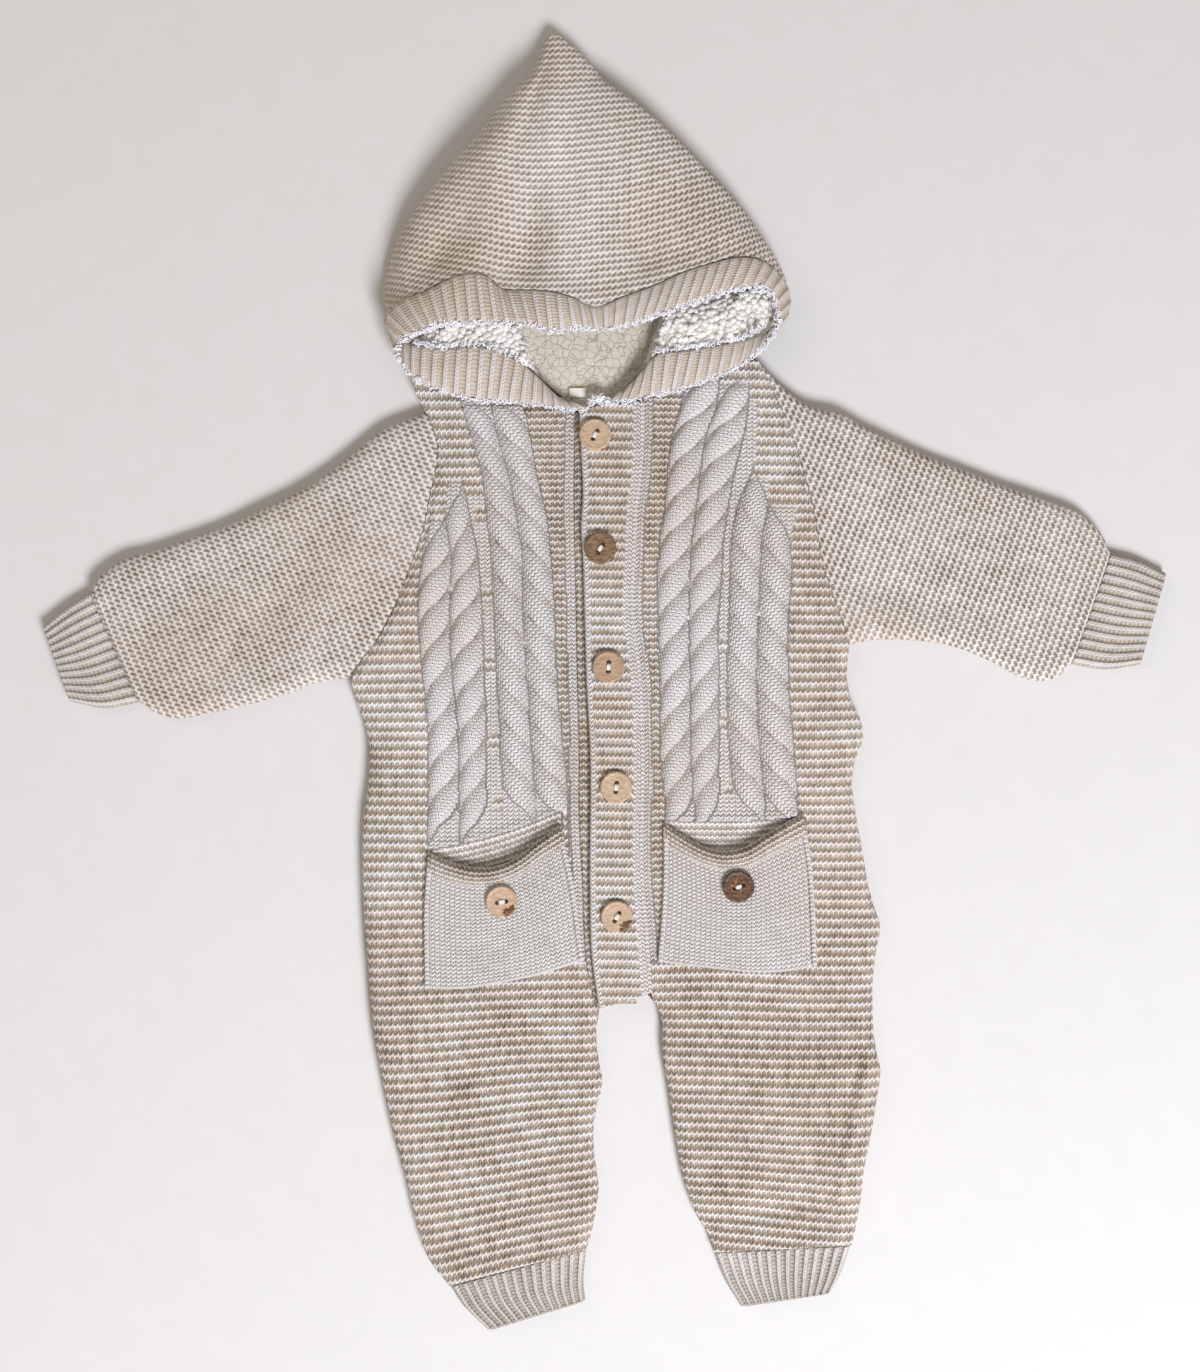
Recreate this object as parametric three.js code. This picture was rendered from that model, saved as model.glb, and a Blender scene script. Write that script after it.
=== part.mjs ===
// A hooded knitted baby romper laid flat on its back, front up. Millimetres, +Z up from the floor.
// +X is the viewer's right, +Y runs from the legs to the tip of the hood.
import * as THREE from "three";

// Driving sizes
const seamGap = 0.3; // between pieces that are sewn together or lie on each other
const backWall = 5; // knit with its pile backing
const frontBase = backWall + seamGap;
const frontTop = 11.6; // height of the front panels' plain knit
const foldRadius = 11; // how far the cloth takes to turn round at a side
const foldLip = 6; // height of the outline where the cloth turns round
const seamRadius = 5; // the soft hollow beside a seam
const seamHeight = 9.8; // top of the cloth at a seam
const sleeveTop = 11.4;
const tubeWall = 5;
const cuffTop = 8.2;
const cuffWall = 3.4;
const ribDepth = 1.3;
const hoodWall = 5;
const bandWall = 4;
const bandRib = 0.7;
const bandRibPitch = 6.5;
const liningWall = 4.5;
const cableTwist = 20.5; // length of one twist of a rope cable
const cableRise = 2.4;
const cellsPerTwist = 4; // rows to one twist, and columns to one cable
const placketBase = 11.9;
const placketTop = 15.4;
const pocketWall = 2.8;
const pocketRoll = 2.4; // how much the pocket's rolled edge stands above it
const buttonSize = { radius: 9, height: 3.2, bevel: 0.7, hole: 1.5, holeGap: 5, sides: 18, holeSides: 6 };

const knitLight = { color: 0xd8cbbb, roughness: 0.95, metalness: 0 };
const knitWarm = { color: 0xcbb89f, roughness: 0.95, metalness: 0 };
const pile = { color: 0xefe9d8, roughness: 1, metalness: 0 };
const wood = { color: 0xb98e60, roughness: 0.6, metalness: 0 };
const tape = { color: 0xe9e6df, roughness: 0.8, metalness: 0 };

// Reading tables

const mix = (a, b, t) => a + (b - a) * t;
const clamp = (x, low = 0, high = 1) => Math.min(high, Math.max(low, x));
const ease = (x) => clamp(x) ** 2 * (3 - 2 * clamp(x));

// A smooth line through rows of numbers at rising keys: a key gives a row.
function smoothRows(keys, rows) {
  const last = keys.length - 1;
  const slopeAt = (i, c) => {
    if (i === 0 || i === last) {
      const from = i === 0 ? 0 : last - 1;
      return (rows[from + 1][c] - rows[from][c]) / (keys[from + 1] - keys[from]);
    }
    const before = keys[i] - keys[i - 1];
    const after = keys[i + 1] - keys[i];
    const rise = (rows[i][c] - rows[i - 1][c]) / before;
    const next = (rows[i + 1][c] - rows[i][c]) / after;
    return (rise * after + next * before) / (before + after);
  };
  const slopes = rows.map((row, i) => row.map((_, c) => slopeAt(i, c)));
  return (key) => {
    const at = clamp(key, keys[0], keys[last]);
    let i = 0;
    while (i < last - 1 && at > keys[i + 1]) i += 1;
    const span = keys[i + 1] - keys[i];
    const t = (at - keys[i]) / span;
    const t2 = t * t;
    const t3 = t2 * t;
    return rows[i].map(
      (from, c) =>
        from * (2 * t3 - 3 * t2 + 1) +
        slopes[i][c] * span * (t3 - 2 * t2 + t) +
        rows[i + 1][c] * (3 * t2 - 2 * t3) +
        slopes[i + 1][c] * span * (t3 - t2),
    );
  };
}

// Rows of [y, value, ...] from the top down: a y gives the values.
function byHeight(rows) {
  const read = smoothRows(rows.map((row) => -row[0]), rows.map((row) => row.slice(1)));
  return (y) => read(-y);
}

// Rows of [x, value] from left to right: an x gives the value.
function byPlace(rows) {
  const read = smoothRows(rows.map((row) => row[0]), rows.map((row) => row.slice(1)));
  return (x) => read(x)[0];
}

// Points joined by a smooth line, read by its share of the chord length from 0 to 1.
function curveThrough(points) {
  const keys = [0];
  for (let i = 1; i < points.length; i += 1) {
    keys.push(keys[i - 1] + Math.hypot(...points[i].map((value, c) => value - points[i - 1][c])));
  }
  const read = smoothRows(keys, points);
  const whole = keys[keys.length - 1];
  const curve = (share) => read(share * whole);
  curve.reach = whole;
  return curve;
}

// A patch between four edge lines: across from left to right, down from top to bottom.
function patch(top, bottom, left, right) {
  const [topLeft, topRight, lowLeft, lowRight] = [top(0), top(1), bottom(0), bottom(1)];
  return (u, v) =>
    topLeft.map(
      (_, c) =>
        mix(left(v)[c], right(v)[c], u) +
        mix(top(u)[c], bottom(u)[c], v) -
        mix(mix(topLeft[c], topRight[c], u), mix(lowLeft[c], lowRight[c], u), v),
    );
}

// How far a fold at an edge has risen at a distance from it, from 0 to 1.
const turned = (distance, radius) => Math.sqrt(1 - (1 - clamp(distance / radius)) ** 2);

// A soft trough or ridge: a row gives its middle, half length, half width, lean in degrees and height.
function creaseAt(creases, x, y) {
  let sum = 0;
  for (const [atX, atY, halfLength, halfWidth, lean, height] of creases) {
    const turn = THREE.MathUtils.degToRad(lean);
    const run = (x - atX) * Math.cos(turn) + (y - atY) * Math.sin(turn);
    const across = (y - atY) * Math.cos(turn) - (x - atX) * Math.sin(turn);
    sum += height * Math.exp(-((run / halfLength) ** 2) - (across / halfWidth) ** 2);
  }
  return sum;
}

// Building closed skins

class Skin {
  constructor() {
    this.points = [];
    this.faces = [];
  }

  loop(points) {
    return points.map((point) => this.points.push(point) - 1);
  }

  // Two triangles on a cell, split along the diagonal that climbs less.
  quad(a, b, c, d) {
    const z = (i) => this.points[i][2];
    if (Math.abs(z(a) - z(c)) <= Math.abs(z(b) - z(d))) this.faces.push([a, b, c], [a, c, d]);
    else this.faces.push([a, b, d], [b, c, d]);
  }

  // Cells between two lines with the same count.
  strip(first, second, closed = false) {
    const count = first.length;
    for (let i = 0; i < (closed ? count : count - 1); i += 1) {
      const next = (i + 1) % count;
      this.quad(first[i], second[i], second[next], first[next]);
    }
  }

  // Triangles between two lines whose counts differ.
  zip(first, second) {
    let i = 0;
    let j = 0;
    while (i < first.length - 1 || j < second.length - 1) {
      const nextFirst = (i + 1) / (first.length - 1);
      const nextSecond = (j + 1) / (second.length - 1);
      if (nextFirst <= nextSecond) {
        this.faces.push([first[i], second[j], first[i + 1]]);
        i += 1;
      } else {
        this.faces.push([first[i], second[j], second[j + 1]]);
        j += 1;
      }
    }
  }

  // A closed loop filled with triangles that look up or down.
  cap(loop, up) {
    const flat = loop.map((i) => new THREE.Vector2(this.points[i][0], this.points[i][1]));
    for (const [a, b, c] of THREE.ShapeUtils.triangulateShape(flat, [])) {
      const across = flat[b].clone().sub(flat[a]);
      const area = across.cross(flat[c].clone().sub(flat[a]));
      this.faces.push(area > 0 === up ? [loop[a], loop[b], loop[c]] : [loop[a], loop[c], loop[b]]);
    }
  }

  // A small loop in any plane, filled from its first point.
  fan(loop) {
    for (let i = 1; i < loop.length - 1; i += 1) this.faces.push([loop[0], loop[i], loop[i + 1]]);
  }

  volume() {
    const corner = (i) => new THREE.Vector3(...this.points[i]);
    return this.faces.reduce((sum, [a, b, c]) => sum + corner(a).dot(corner(b).cross(corner(c))) / 6, 0);
  }

  mesh(name, finish) {
    const outward = this.volume() > 0;
    const geometry = new THREE.BufferGeometry();
    geometry.setAttribute("position", new THREE.Float32BufferAttribute(this.points.flat(), 3));
    geometry.setIndex(this.faces.flatMap(([a, b, c]) => (outward ? [a, b, c] : [a, c, b])));
    geometry.computeVertexNormals();
    return named(name, geometry, finish);
  }
}

function named(name, geometry, finish) {
  const mesh = new THREE.Mesh(geometry, new THREE.MeshStandardMaterial(finish));
  mesh.name = name;
  return mesh;
}

// The way round the edge of a grid of points given row by row.
function rimOf(lines) {
  const last = lines.length - 1;
  const left = lines.map((line) => line[0]);
  const right = lines.map((line) => line[line.length - 1]).reverse();
  return [...left, ...lines[last].slice(1, -1), ...right, ...lines[0].slice(1, -1).reverse()];
}

// A wall whose top is given row by row from the far edge to the near one, over a flat underside.
function panel(name, finish, rows, underside) {
  const skin = new Skin();
  const lines = rows.map((row) => skin.loop(row));
  for (let i = 0; i < lines.length - 1; i += 1) {
    if (lines[i].length === lines[i + 1].length) skin.strip(lines[i], lines[i + 1]);
    else skin.zip(lines[i], lines[i + 1]);
  }
  const rim = rimOf(lines);
  const base = skin.loop(rim.map((i) => [...skin.points[i].slice(0, 2), underside]));
  skin.strip(rim, base, true);
  skin.cap(base, false);
  return skin.mesh(name, finish);
}

// A tube whose loops are given from one open end to the other, outside and inside.
function tube(name, finish, outer, inner) {
  const skin = new Skin();
  const around = [...outer, ...[...inner].reverse()].map((points) => skin.loop(points));
  around.forEach((loop, i) => skin.strip(loop, around[(i + 1) % around.length], true));
  return skin.mesh(name, finish);
}

// Body: side lines, edge lines beside the button band, and the rows between them

const leftSide = byHeight([
  // [y, x] of the raglan seam, the side and the outside of the leg
  [172, -107],
  [163, -106],
  [154, -101],
  [140, -95],
  [126, -94],
  [106, -98],
  [86, -102],
  [66, -109],
  [50, -115],
  [26, -127],
  [2, -142],
  [-10, -140],
  [-21, -136],
  [-34, -133],
  [-56, -133],
  [-78, -136],
  [-122, -136],
  [-165, -133],
  [-198, -130],
  [-226, -125],
  [-254, -119],
  [-284, -111],
  [-309, -105],
  [-327, -98],
  [-341, -87],
]);
const rightSide = byHeight([
  // [y, x]
  [183, 86],
  [168, 94],
  [152, 101],
  [137, 107],
  [120, 112],
  [103, 117],
  [86, 120],
  [68, 123],
  [41, 132],
  [21, 138],
  [8, 137],
  [-8, 139],
  [-21, 145],
  [-33, 146],
  [-43, 142],
  [-56, 140],
  [-72, 142],
  [-95, 146],
  [-122, 151],
  [-138, 156],
  [-150, 154],
  [-167, 152],
  [-190, 152],
  [-205, 153],
  [-217, 156],
  [-236, 154],
  [-254, 151],
  [-275, 147],
  [-292, 145],
  [-318, 140],
]);
const leftEdge = byHeight([
  // [y, x] of the edge beside the button band, then of the inside of the leg
  [162, -16],
  [105, -17],
  [52, -16],
  [2, -15],
  [-37, -14],
  [-76, -14],
  [-115, -12],
  [-145, -11],
  [-164, -9],
  [-176, -6],
  [-184, -3],
  [-198, -5],
  [-213, -3],
  [-226, -1],
  [-242, -5],
  [-256, -6],
  [-271, -5],
  [-284, -3],
  [-294, -4],
  [-310, -7],
  [-320, -10],
]);
const rightEdge = byHeight([
  // [y, x]
  [171, 22],
  [121, 21],
  [96, 18],
  [71, 17],
  [38, 16],
  [16, 19],
  [-4, 21],
  [-37, 22],
  [-115, 22],
  [-139, 24],
  [-167, 26],
  [-177, 27],
  [-188, 32],
  [-209, 33],
  [-233, 37],
  [-260, 41],
  [-284, 46],
  [-302, 53],
  [-313, 60],
  [-322, 62],
]);
const crotch = [
  // [x, y]
  [6, -177],
  [18, -174],
];

// Cables: [y, x of the six lines that bound four cables, two and two]
const leftCables = {
  lines: byHeight([
    [162, -98, -94, -90, -82, -65, -47],
    [136, -90, -86, -81, -74, -59, -41],
    [118, -91, -87, -80, -69, -54, -38],
    [92, -97, -89, -75, -66, -49, -32],
    [72, -102, -86, -71, -63.5, -46, -30],
    [47, -104.6, -86.6, -69, -62.4, -45.8, -28],
    [13, -103, -86, -67.5, -60.8, -44, -27],
    [-29, -99, -82, -66, -58.5, -41, -23.6],
    [-68, -99, -81.5, -66, -57.4, -38.8, -20],
    [-100, -99, -81.5, -66, -57.4, -38.8, -20],
  ]),
  // [top, phase of the twist, lean of the strands: 1 climbs to the right] of each cable
  ropes: [
    [84, 11.2, 1],
    [106, 9.2, 1],
    [150, 4.8, -1],
    [150, 2.8, -1],
  ],
  end: (x) => -70 + (x + 60) * 0.3,
};
const rightCables = {
  lines: byHeight([
    [172, 46, 65, 82, 84, 86, 88],
    [155, 43, 63, 81, 86, 90, 94],
    [141, 39, 58, 79, 86, 92, 99],
    [121, 36, 54.5, 74, 84, 93, 103],
    [99, 34.3, 52, 70, 75, 92, 108],
    [82, 31.5, 49.8, 67.5, 72, 89, 105],
    [60, 30.4, 48.4, 66.4, 71, 88, 105.8],
    [38, 30.4, 48, 64.5, 70.5, 87, 104],
    [2, 31.5, 48.7, 64.7, 69.2, 86, 104],
    [-42, 32, 49, 64.7, 71, 88.3, 107.4],
    [-69, 34.3, 50.6, 64.7, 73.7, 90.6, 109],
    [-100, 34.3, 50.6, 64.7, 73.7, 90.6, 109],
  ]),
  ropes: [
    [166, 14.5, 1],
    [160, 12.5, 1],
    [107, 2.8, -1],
    [92, 0.8, -1],
  ],
  end: () => -66,
};

// Height of a rope cable's strands over the plain knit: across runs from 0 to 1 on one cable.
function ropeRelief([top, phase, lean], across, y, end) {
  const along = (y - phase) / cableTwist - lean * across;
  const strand = Math.abs(Math.sin(Math.PI * along));
  const rounded = Math.sin(Math.PI * mix(0.12, 0.88, across));
  const fade = ease((top - y) / 6) * ease((y - end) / 6);
  return cableRise * fade * (rounded * (0.25 + 0.75 * strand));
}

// Large creases of the fronts: [x, y, half length, half width, lean, height]
const leftCreases = [
  [-95, -225, 34, 9, 12, -1.4],
  [-55, -262, 40, 10, 8, 1],
  [-50, -300, 34, 8, -14, -1.5],
  [-118, -40, 22, 9, 80, 1],
];
const rightCreases = [
  [95, -215, 40, 10, -6, 1],
  [118, -270, 46, 7, 76, -1.6],
  [85, -296, 34, 8, 12, -1.5],
  [126, -5, 26, 8, 60, -1.2],
];

// One front: rows lean from the side to the edge by tilt; its top is plain, then cabled, then plain.
function frontPanel(name, side, edge, cables, creases, shape) {
  const { mirrored, sideTop, edgeTop, sideEnd, edgeEnd, underarm, edgeFork, cableEnd } = shape;
  const outward = mirrored ? -1 : 1;
  const level = (share) => {
    // The y of a row at the side and at the edge.
    const sideY = mix(sideTop, sideEnd, share);
    const leanAbove = (edgeTop - sideTop) * (1 - ease(share / 0.12));
    const leanBelow = (edgeEnd - sideEnd) * ease((share - 0.72) / 0.28);
    return [sideY, sideY + leanAbove + leanBelow];
  };
  const surface = (x, y, toSide, toEdge) => {
    const sideLip = mix(foldLip, seamHeight, ease((y - underarm + 14) / 16));
    const sideTurn = turned(toSide, mix(foldRadius, seamRadius, ease((y - underarm + 14) / 16)));
    const edgeLip = mix(foldLip, seamHeight, ease((y - edgeFork + 10) / 12));
    const edgeTurn = turned(toEdge, mix(foldRadius, seamRadius, ease((y - edgeFork + 10) / 12)));
    const top = frontTop + creaseAt(creases, x, y) * sideTurn * edgeTurn;
    return Math.min(mix(sideLip, top, sideTurn), mix(edgeLip, top, edgeTurn));
  };
  const rowAt = (share, places) => {
    const [sideY, edgeY] = level(share);
    const from = side(sideY)[0];
    const to = edge(edgeY)[0];
    const points = places(from, to, mix(sideY, edgeY, 0.5)).map(([x, relief]) => {
      const across = clamp((x - from) / (to - from));
      const y = mix(sideY, edgeY, across);
      const width = Math.abs(to - from);
      return [x, y, surface(x, y, across * width, (1 - across) * width) + relief];
    });
    return mirrored ? points.reverse() : points;
  };
  // Places of the columns beside and on the cables, from the side to the edge.
  const cabled = (from, to, y) => {
    const lines = cables.lines(y);
    const ordered = mirrored ? [...lines].reverse() : lines;
    const ropes = mirrored ? [...cables.ropes].reverse() : cables.ropes;
    const first = ordered[0];
    const columns = [0, 0.25, 0.7].map((share) => [mix(from, first, share), 0]);
    for (let pair = 0; pair < 2; pair += 1) {
      for (let rope = 0; rope < 2; rope += 1) {
        const near = ordered[pair * 3 + rope];
        const far = ordered[pair * 3 + rope + 1];
        for (let step = rope; step <= cellsPerTwist; step += 1) {
          const share = step / cellsPerTwist;
          const x = mix(near, far, share);
          const fromLeft = mirrored ? 1 - share : share;
          columns.push([x, ropeRelief(ropes[pair * 2 + rope], fromLeft, y, cables.end(x))]);
        }
      }
    }
    const last = columns[columns.length - 1][0];
    columns.push([mix(last, to, 0.6), 0], [to, 0]);
    return keepApart(columns, outward);
  };
  const plainShares = [0, 0.02, 0.06, 0.14, 0.3, 0.45, 0.6, 0.76, 0.88, 0.95, 0.985, 1];
  const plain = (from, to) => plainShares.map((share) => [mix(from, to, share), 0]);
  const rows = [];
  const cabledRows = Math.round((sideTop - cableEnd) / (cableTwist / cellsPerTwist));
  const cabledShare = (sideTop - cableEnd) / (sideTop - sideEnd);
  for (let i = 0; i <= cabledRows; i += 1) rows.push(rowAt((cabledShare * i) / cabledRows, cabled));
  const plainRows = 24;
  for (let i = 1; i <= plainRows; i += 1) rows.push(rowAt(mix(cabledShare, 1, i / plainRows), plain));
  // The last row tucks down to the cuff.
  rows[rows.length - 1] = rows[rows.length - 1].map(([x, y, z]) => [x, y, Math.min(z, cuffTop)]);
  return panel(name, knitLight, rows, frontBase);
}

// Columns are pushed along so that no two come closer than a stitch's half.
function keepApart(columns, outward) {
  const least = 0.9;
  for (let i = 1; i < columns.length; i += 1) {
    const reach = columns[i - 1][0] + outward * least;
    if ((columns[i][0] - reach) * outward < 0) columns[i][0] = reach;
  }
  for (let i = columns.length - 2; i > 0; i -= 1) {
    const reach = columns[i + 1][0] - outward * least;
    if ((reach - columns[i][0]) * outward < 0) columns[i][0] = reach;
  }
  return columns;
}

// The back: one plain slab under the fronts, with a rounded lower rim.
const neckBack = [
  // from the left corner of the hood's mouth to the right one, under the lining
  [-112, 190],
  [-100, 186.5],
  [-60, 184],
  [0, 184],
  [60, 186],
  [80, 190],
  [92, 197],
];

function backPanel() {
  const outline = [];
  const walk = (line, from, to, step) => {
    const count = Math.round(Math.abs(to - from) / step);
    for (let i = 0; i <= count; i += 1) {
      const y = mix(from, to, i / count);
      outline.push([line(y)[0], y]);
    }
  };
  walk(leftSide, 172, 4, 14);
  outline.push([-142, 1]);
  walk(leftSide, -8, -340.5, 13);
  walk(leftEdge, -319.5, -185, 12);
  outline.push(...crotch);
  walk(rightEdge, -186, -321, 12);
  walk(rightSide, -317, 8, 12);
  outline.push([138, 20]);
  walk(rightSide, 32, 183, 14);
  outline.push([88, 191]);
  outline.push(...[...neckBack].reverse().slice(1, -1).map(([x, y]) => [x, y - 1.2]));
  outline.push([-109, 186]);
  const towardsMiddle = (i) => {
    // A corner's inward direction, from its two neighbours on the outline.
    const count = outline.length;
    const [before, after] = [outline[(i + count - 1) % count], outline[(i + 1) % count]];
    const along = new THREE.Vector2(after[0] - before[0], after[1] - before[1]).normalize();
    return [-along.y, along.x];
  };
  const inward = outline.map((_, i) => towardsMiddle(i));
  const skin = new Skin();
  const ring = (depth, z) =>
    skin.loop(outline.map(([x, y], i) => [x + inward[i][0] * depth, y + inward[i][1] * depth, z]));
  const loops = [ring(4.2, 0), ring(1.2, 1.7), ring(seamGap / 2, backWall)];
  skin.strip(loops[1], loops[0], true);
  skin.strip(loops[2], loops[1], true);
  skin.cap(loops[0], false);
  skin.cap(loops[2], true);
  return skin.mesh("back_panel", knitLight);
}

// Sleeves: flattened tubes between the raglan seam and the cuff's seam

const sleeveShapes = {
  sleeve_left: {
    raglan: { gap: -0.6, top: 153, low: 3, line: leftSide },
    upper: [
      [-101.6, 153],
      [-125, 143],
      [-140, 131],
      [-158, 117],
      [-176, 106],
      [-193, 98],
      [-215, 88],
      [-238, 80],
      [-256, 74],
      [-268, 71],
      [-279, 65],
      [-287, 58],
      [-290, 52],
    ],
    lower: [
      [-142.6, 3],
      [-151, 2],
      [-163, 0],
      [-178, -6],
      [-200, -12],
      [-223, -17],
      [-244, -20],
      [-253, -17],
      [-263, -10],
    ],
    creases: [
      [-150, 70, 40, 12, 62, 1.4],
      [-190, 40, 44, 11, 40, -1.5],
      [-228, 20, 36, 10, 58, 1.2],
      [-255, 34, 26, 8, 70, -1.3],
    ],
  },
  sleeve_right: {
    raglan: { gap: 0.6, top: 182, low: 21.5, line: rightSide },
    upper: [
      [86.9, 182],
      [100, 168],
      [115, 157],
      [134, 152],
      [150, 143],
      [165, 136],
      [183, 128],
      [204, 120],
      [227, 111],
      [250, 103],
      [270, 95],
      [281, 84],
      [286, 74],
    ],
    lower: [
      [138.7, 21.5],
      [150, 24],
      [173, 24],
      [196, 21],
      [219, 12],
      [234, 4],
      [245, 1],
      [257, 4],
      [264, 11],
    ],
    creases: [
      [160, 95, 44, 12, 118, 1.4],
      [190, 45, 46, 8, 168, -1.6],
      [222, 62, 40, 12, 130, 1.2],
      [255, 50, 26, 8, 112, -1.3],
    ],
  },
};
const tubePlaces = [0, 0.1, 0.35, 1]; // shares of the fold radius where a flattened tube has points
const tubeMiddle = 7; // cells on the flat of a tube, above and below

// The loops of a flattened tube across a patch: top points from edge to edge, then the underside.
function flattened(at, shares, height, relief, inset, wall) {
  return shares.map((v) => {
    const near = at(0, v);
    const far = at(1, v);
    const width = Math.hypot(far[0] - near[0], far[1] - near[1]);
    const radius = Math.min(foldRadius - inset, width * 0.4);
    const ends = tubePlaces.map((share) => inset + share * radius);
    const flat = [];
    for (let i = 1; i < tubeMiddle; i += 1) {
      flat.push(mix(inset + radius, width - inset - radius, i / tubeMiddle));
    }
    const places = [...ends, ...flat, ...[...ends].reverse().map((d) => width - d)];
    const rise = (d) => turned(Math.min(d, width - d) - inset, radius);
    const over = places.map((d) => {
      const [x, y] = at(d / width, v);
      const lift = rise(d);
      return [x, y, mix(height / 2, height + relief(x, y) - wall, lift)];
    });
    const under = places.slice(1, -1).map((d) => {
      const [x, y] = at(d / width, v);
      return [x, y, mix(height / 2, wall, rise(d))];
    });
    return [...over, ...under.reverse()];
  });
}

function sleeve(name) {
  const { raglan, upper, lower, creases } = sleeveShapes[name];
  const raglanCurve = (u) => {
    const y = mix(raglan.top, raglan.low, u);
    return [raglan.line(y)[0] + raglan.gap, y];
  };
  const upperCurve = curveThrough([raglanCurve(0), ...upper.slice(1)]);
  const lowerCurve = curveThrough([raglanCurve(1), ...lower.slice(1)]);
  const cuffEnd = (u) => [0, 1].map((c) => mix(upperCurve(1)[c], lowerCurve(1)[c], u));
  const plan = patch(raglanCurve, cuffEnd, upperCurve, lowerCurve);
  const shares = [0, 0.03, 0.1, 0.18, 0.27, 0.36, 0.45, 0.54, 0.63, 0.72, 0.81, 0.89, 0.96, 1];
  const relief = (x, y) => creaseAt(creases, x, y);
  const outer = flattened(plan, shares, sleeveTop, relief, 0, 0);
  const inner = flattened(plan, [0, 0.5, 1], sleeveTop, () => 0, tubeWall, tubeWall);
  const ends = [outer[0], outer[outer.length - 1]];
  ends.forEach((loop, i) => {
    const drop = i === 0 ? seamHeight : cuffTop + 1.6;
    loop.forEach((point) => {
      point[2] = Math.min(point[2], drop);
    });
  });
  return tube(name, knitLight, outer, inner);
}

// Cuffs: flattened ribbed tubes, plain inside and underneath
const cuffShapes = {
  // rows from the seam to the free edge: [x, y of one side, x, y of the other]
  sleeve_cuff_left: {
    ribs: 12,
    rows: [
      [-290.4, 51.6, -263.2, -11],
      [-304, 42.8, -282, -14.2],
      [-316.8, 32.4, -301.5, -10.6],
    ],
  },
  sleeve_cuff_right: {
    ribs: 12,
    rows: [
      [286.5, 73.4, 264.3, 10.6],
      [302.4, 69.8, 283.2, 7.6],
      [317.6, 62.4, 302.6, 10.2],
    ],
  },
  leg_cuff_left: {
    ribs: 14,
    rows: [
      [-87, -341, -10, -320],
      [-79, -353, -11.6, -337.6],
      [-65.8, -365.8, -10.6, -348.8],
    ],
  },
  leg_cuff_right: {
    ribs: 14,
    rows: [
      [62.4, -321.9, 139.6, -317.9],
      [68.6, -338, 134, -333.8],
      [77.2, -352.2, 128.4, -344.4],
    ],
  },
};

function cuff(name) {
  const { ribs, rows } = cuffShapes[name];
  const line = smoothRows([0, 0.5, 1], rows);
  const at = (u, v) => {
    const [ax, ay, bx, by] = line(v);
    return [mix(ax, bx, u), mix(ay, by, u)];
  };
  const cells = ribs * 3;
  const places = [];
  for (let i = 0; i <= cells; i += 1) places.push(i / cells);
  const underPlaces = [0.97, 0.8, 0.5, 0.2, 0.03];
  const section = (v, inset, wall, depth) => {
    const near = at(0, v);
    const far = at(1, v);
    const width = Math.hypot(far[0] - near[0], far[1] - near[1]);
    const squeeze = (u) => mix(inset / width, 1 - inset / width, u);
    const rise = (u) => turned(Math.min(u, 1 - u) * width, 6);
    const over = places.map((u, i) => {
      const rib = i % 3 === 0 ? -depth : 0;
      return [...at(squeeze(u), v), mix(cuffTop / 2, cuffTop - wall + rib, rise(u))];
    });
    const under = underPlaces.map((u) => [...at(squeeze(u), v), mix(cuffTop / 2, wall, rise(u))]);
    return [...over, ...under];
  };
  const outer = [0, 0.5, 1].map((v) => section(v, 0, 0, ribDepth));
  const inner = [0, 1].map((v) => section(v, cuffWall, cuffWall + 0.2, 0));
  return tube(name, knitLight, outer, inner);
}

// Hood: a pouch on the floor whose mouth is held up

const hoodLeft = curveThrough([
  // [x, y, z] of the outline from the tip to the left corner of the mouth
  [-34, 362, 6],
  [-38, 352, 6],
  [-45, 340, 6],
  [-60, 325, 6],
  [-71, 310, 6],
  [-89, 290, 6],
  [-107, 267, 6],
  [-116, 252, 6],
  [-122, 234, 7],
  [-123.5, 216, 10],
  [-121.5, 206, 15],
]);
const hoodRight = curveThrough([
  // [x, y, z], to the right corner
  [-21, 362, 6],
  [-15, 357, 6],
  [-5, 346, 6],
  [4, 335, 6],
  [18, 325, 6],
  [36, 310, 6],
  [54, 292, 6],
  [69, 276, 6],
  [84, 259, 6],
  [94, 244, 7],
  [101.5, 230, 10],
  [103.5, 219, 14],
]);
const hoodTip = (u) => [mix(-34, -21, u), 362 + 3.4 * Math.sin(Math.PI * u), 6 + 3 * Math.sin(Math.PI * u)];
const mouthTop = curveThrough([
  // [x, y, z] of the seam with the ribbed band, over the mouth
  [-121.5, 206, 15],
  [-112, 213, 26],
  [-99.5, 217, 32],
  [-88.5, 222, 35],
  [-76.7, 225.6, 37.5],
  [-66, 225, 38.5],
  [-55.3, 217.6, 36],
  [-45.7, 217, 37],
  [-31, 216, 39],
  [-18.5, 213, 40],
  [-4.9, 207.5, 40.5],
  [10.7, 213, 40],
  [29, 220, 38.5],
  [43.8, 227, 36.5],
  [58.4, 232, 34],
  [75, 236.5, 30],
  [88, 235.4, 25],
  [97, 229.5, 19],
  [103.5, 219, 14],
]);
const mouthBase = curveThrough([
  // [x, y] of the mouth's lower side on the floor
  [-121.5, 206],
  [-120, 197],
  [-112, 191],
  ...neckBack.slice(1, -1),
  [92, 198],
  [100, 207],
  [103.5, 219],
]);
const hoodCreases = [
  [-40, 245, 9, 34, 0, -4],
  [-62, 262, 9, 30, -12, 2],
  [-8, 268, 10, 34, 8, 2.4],
  [22, 240, 10, 26, 24, -2.6],
  [-90, 240, 9, 18, -30, -1.8],
  [62, 256, 12, 22, 40, 1.6],
];
const hoodPuff = 12; // how much the crown stands above a straight line from the tip to the mouth

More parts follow.
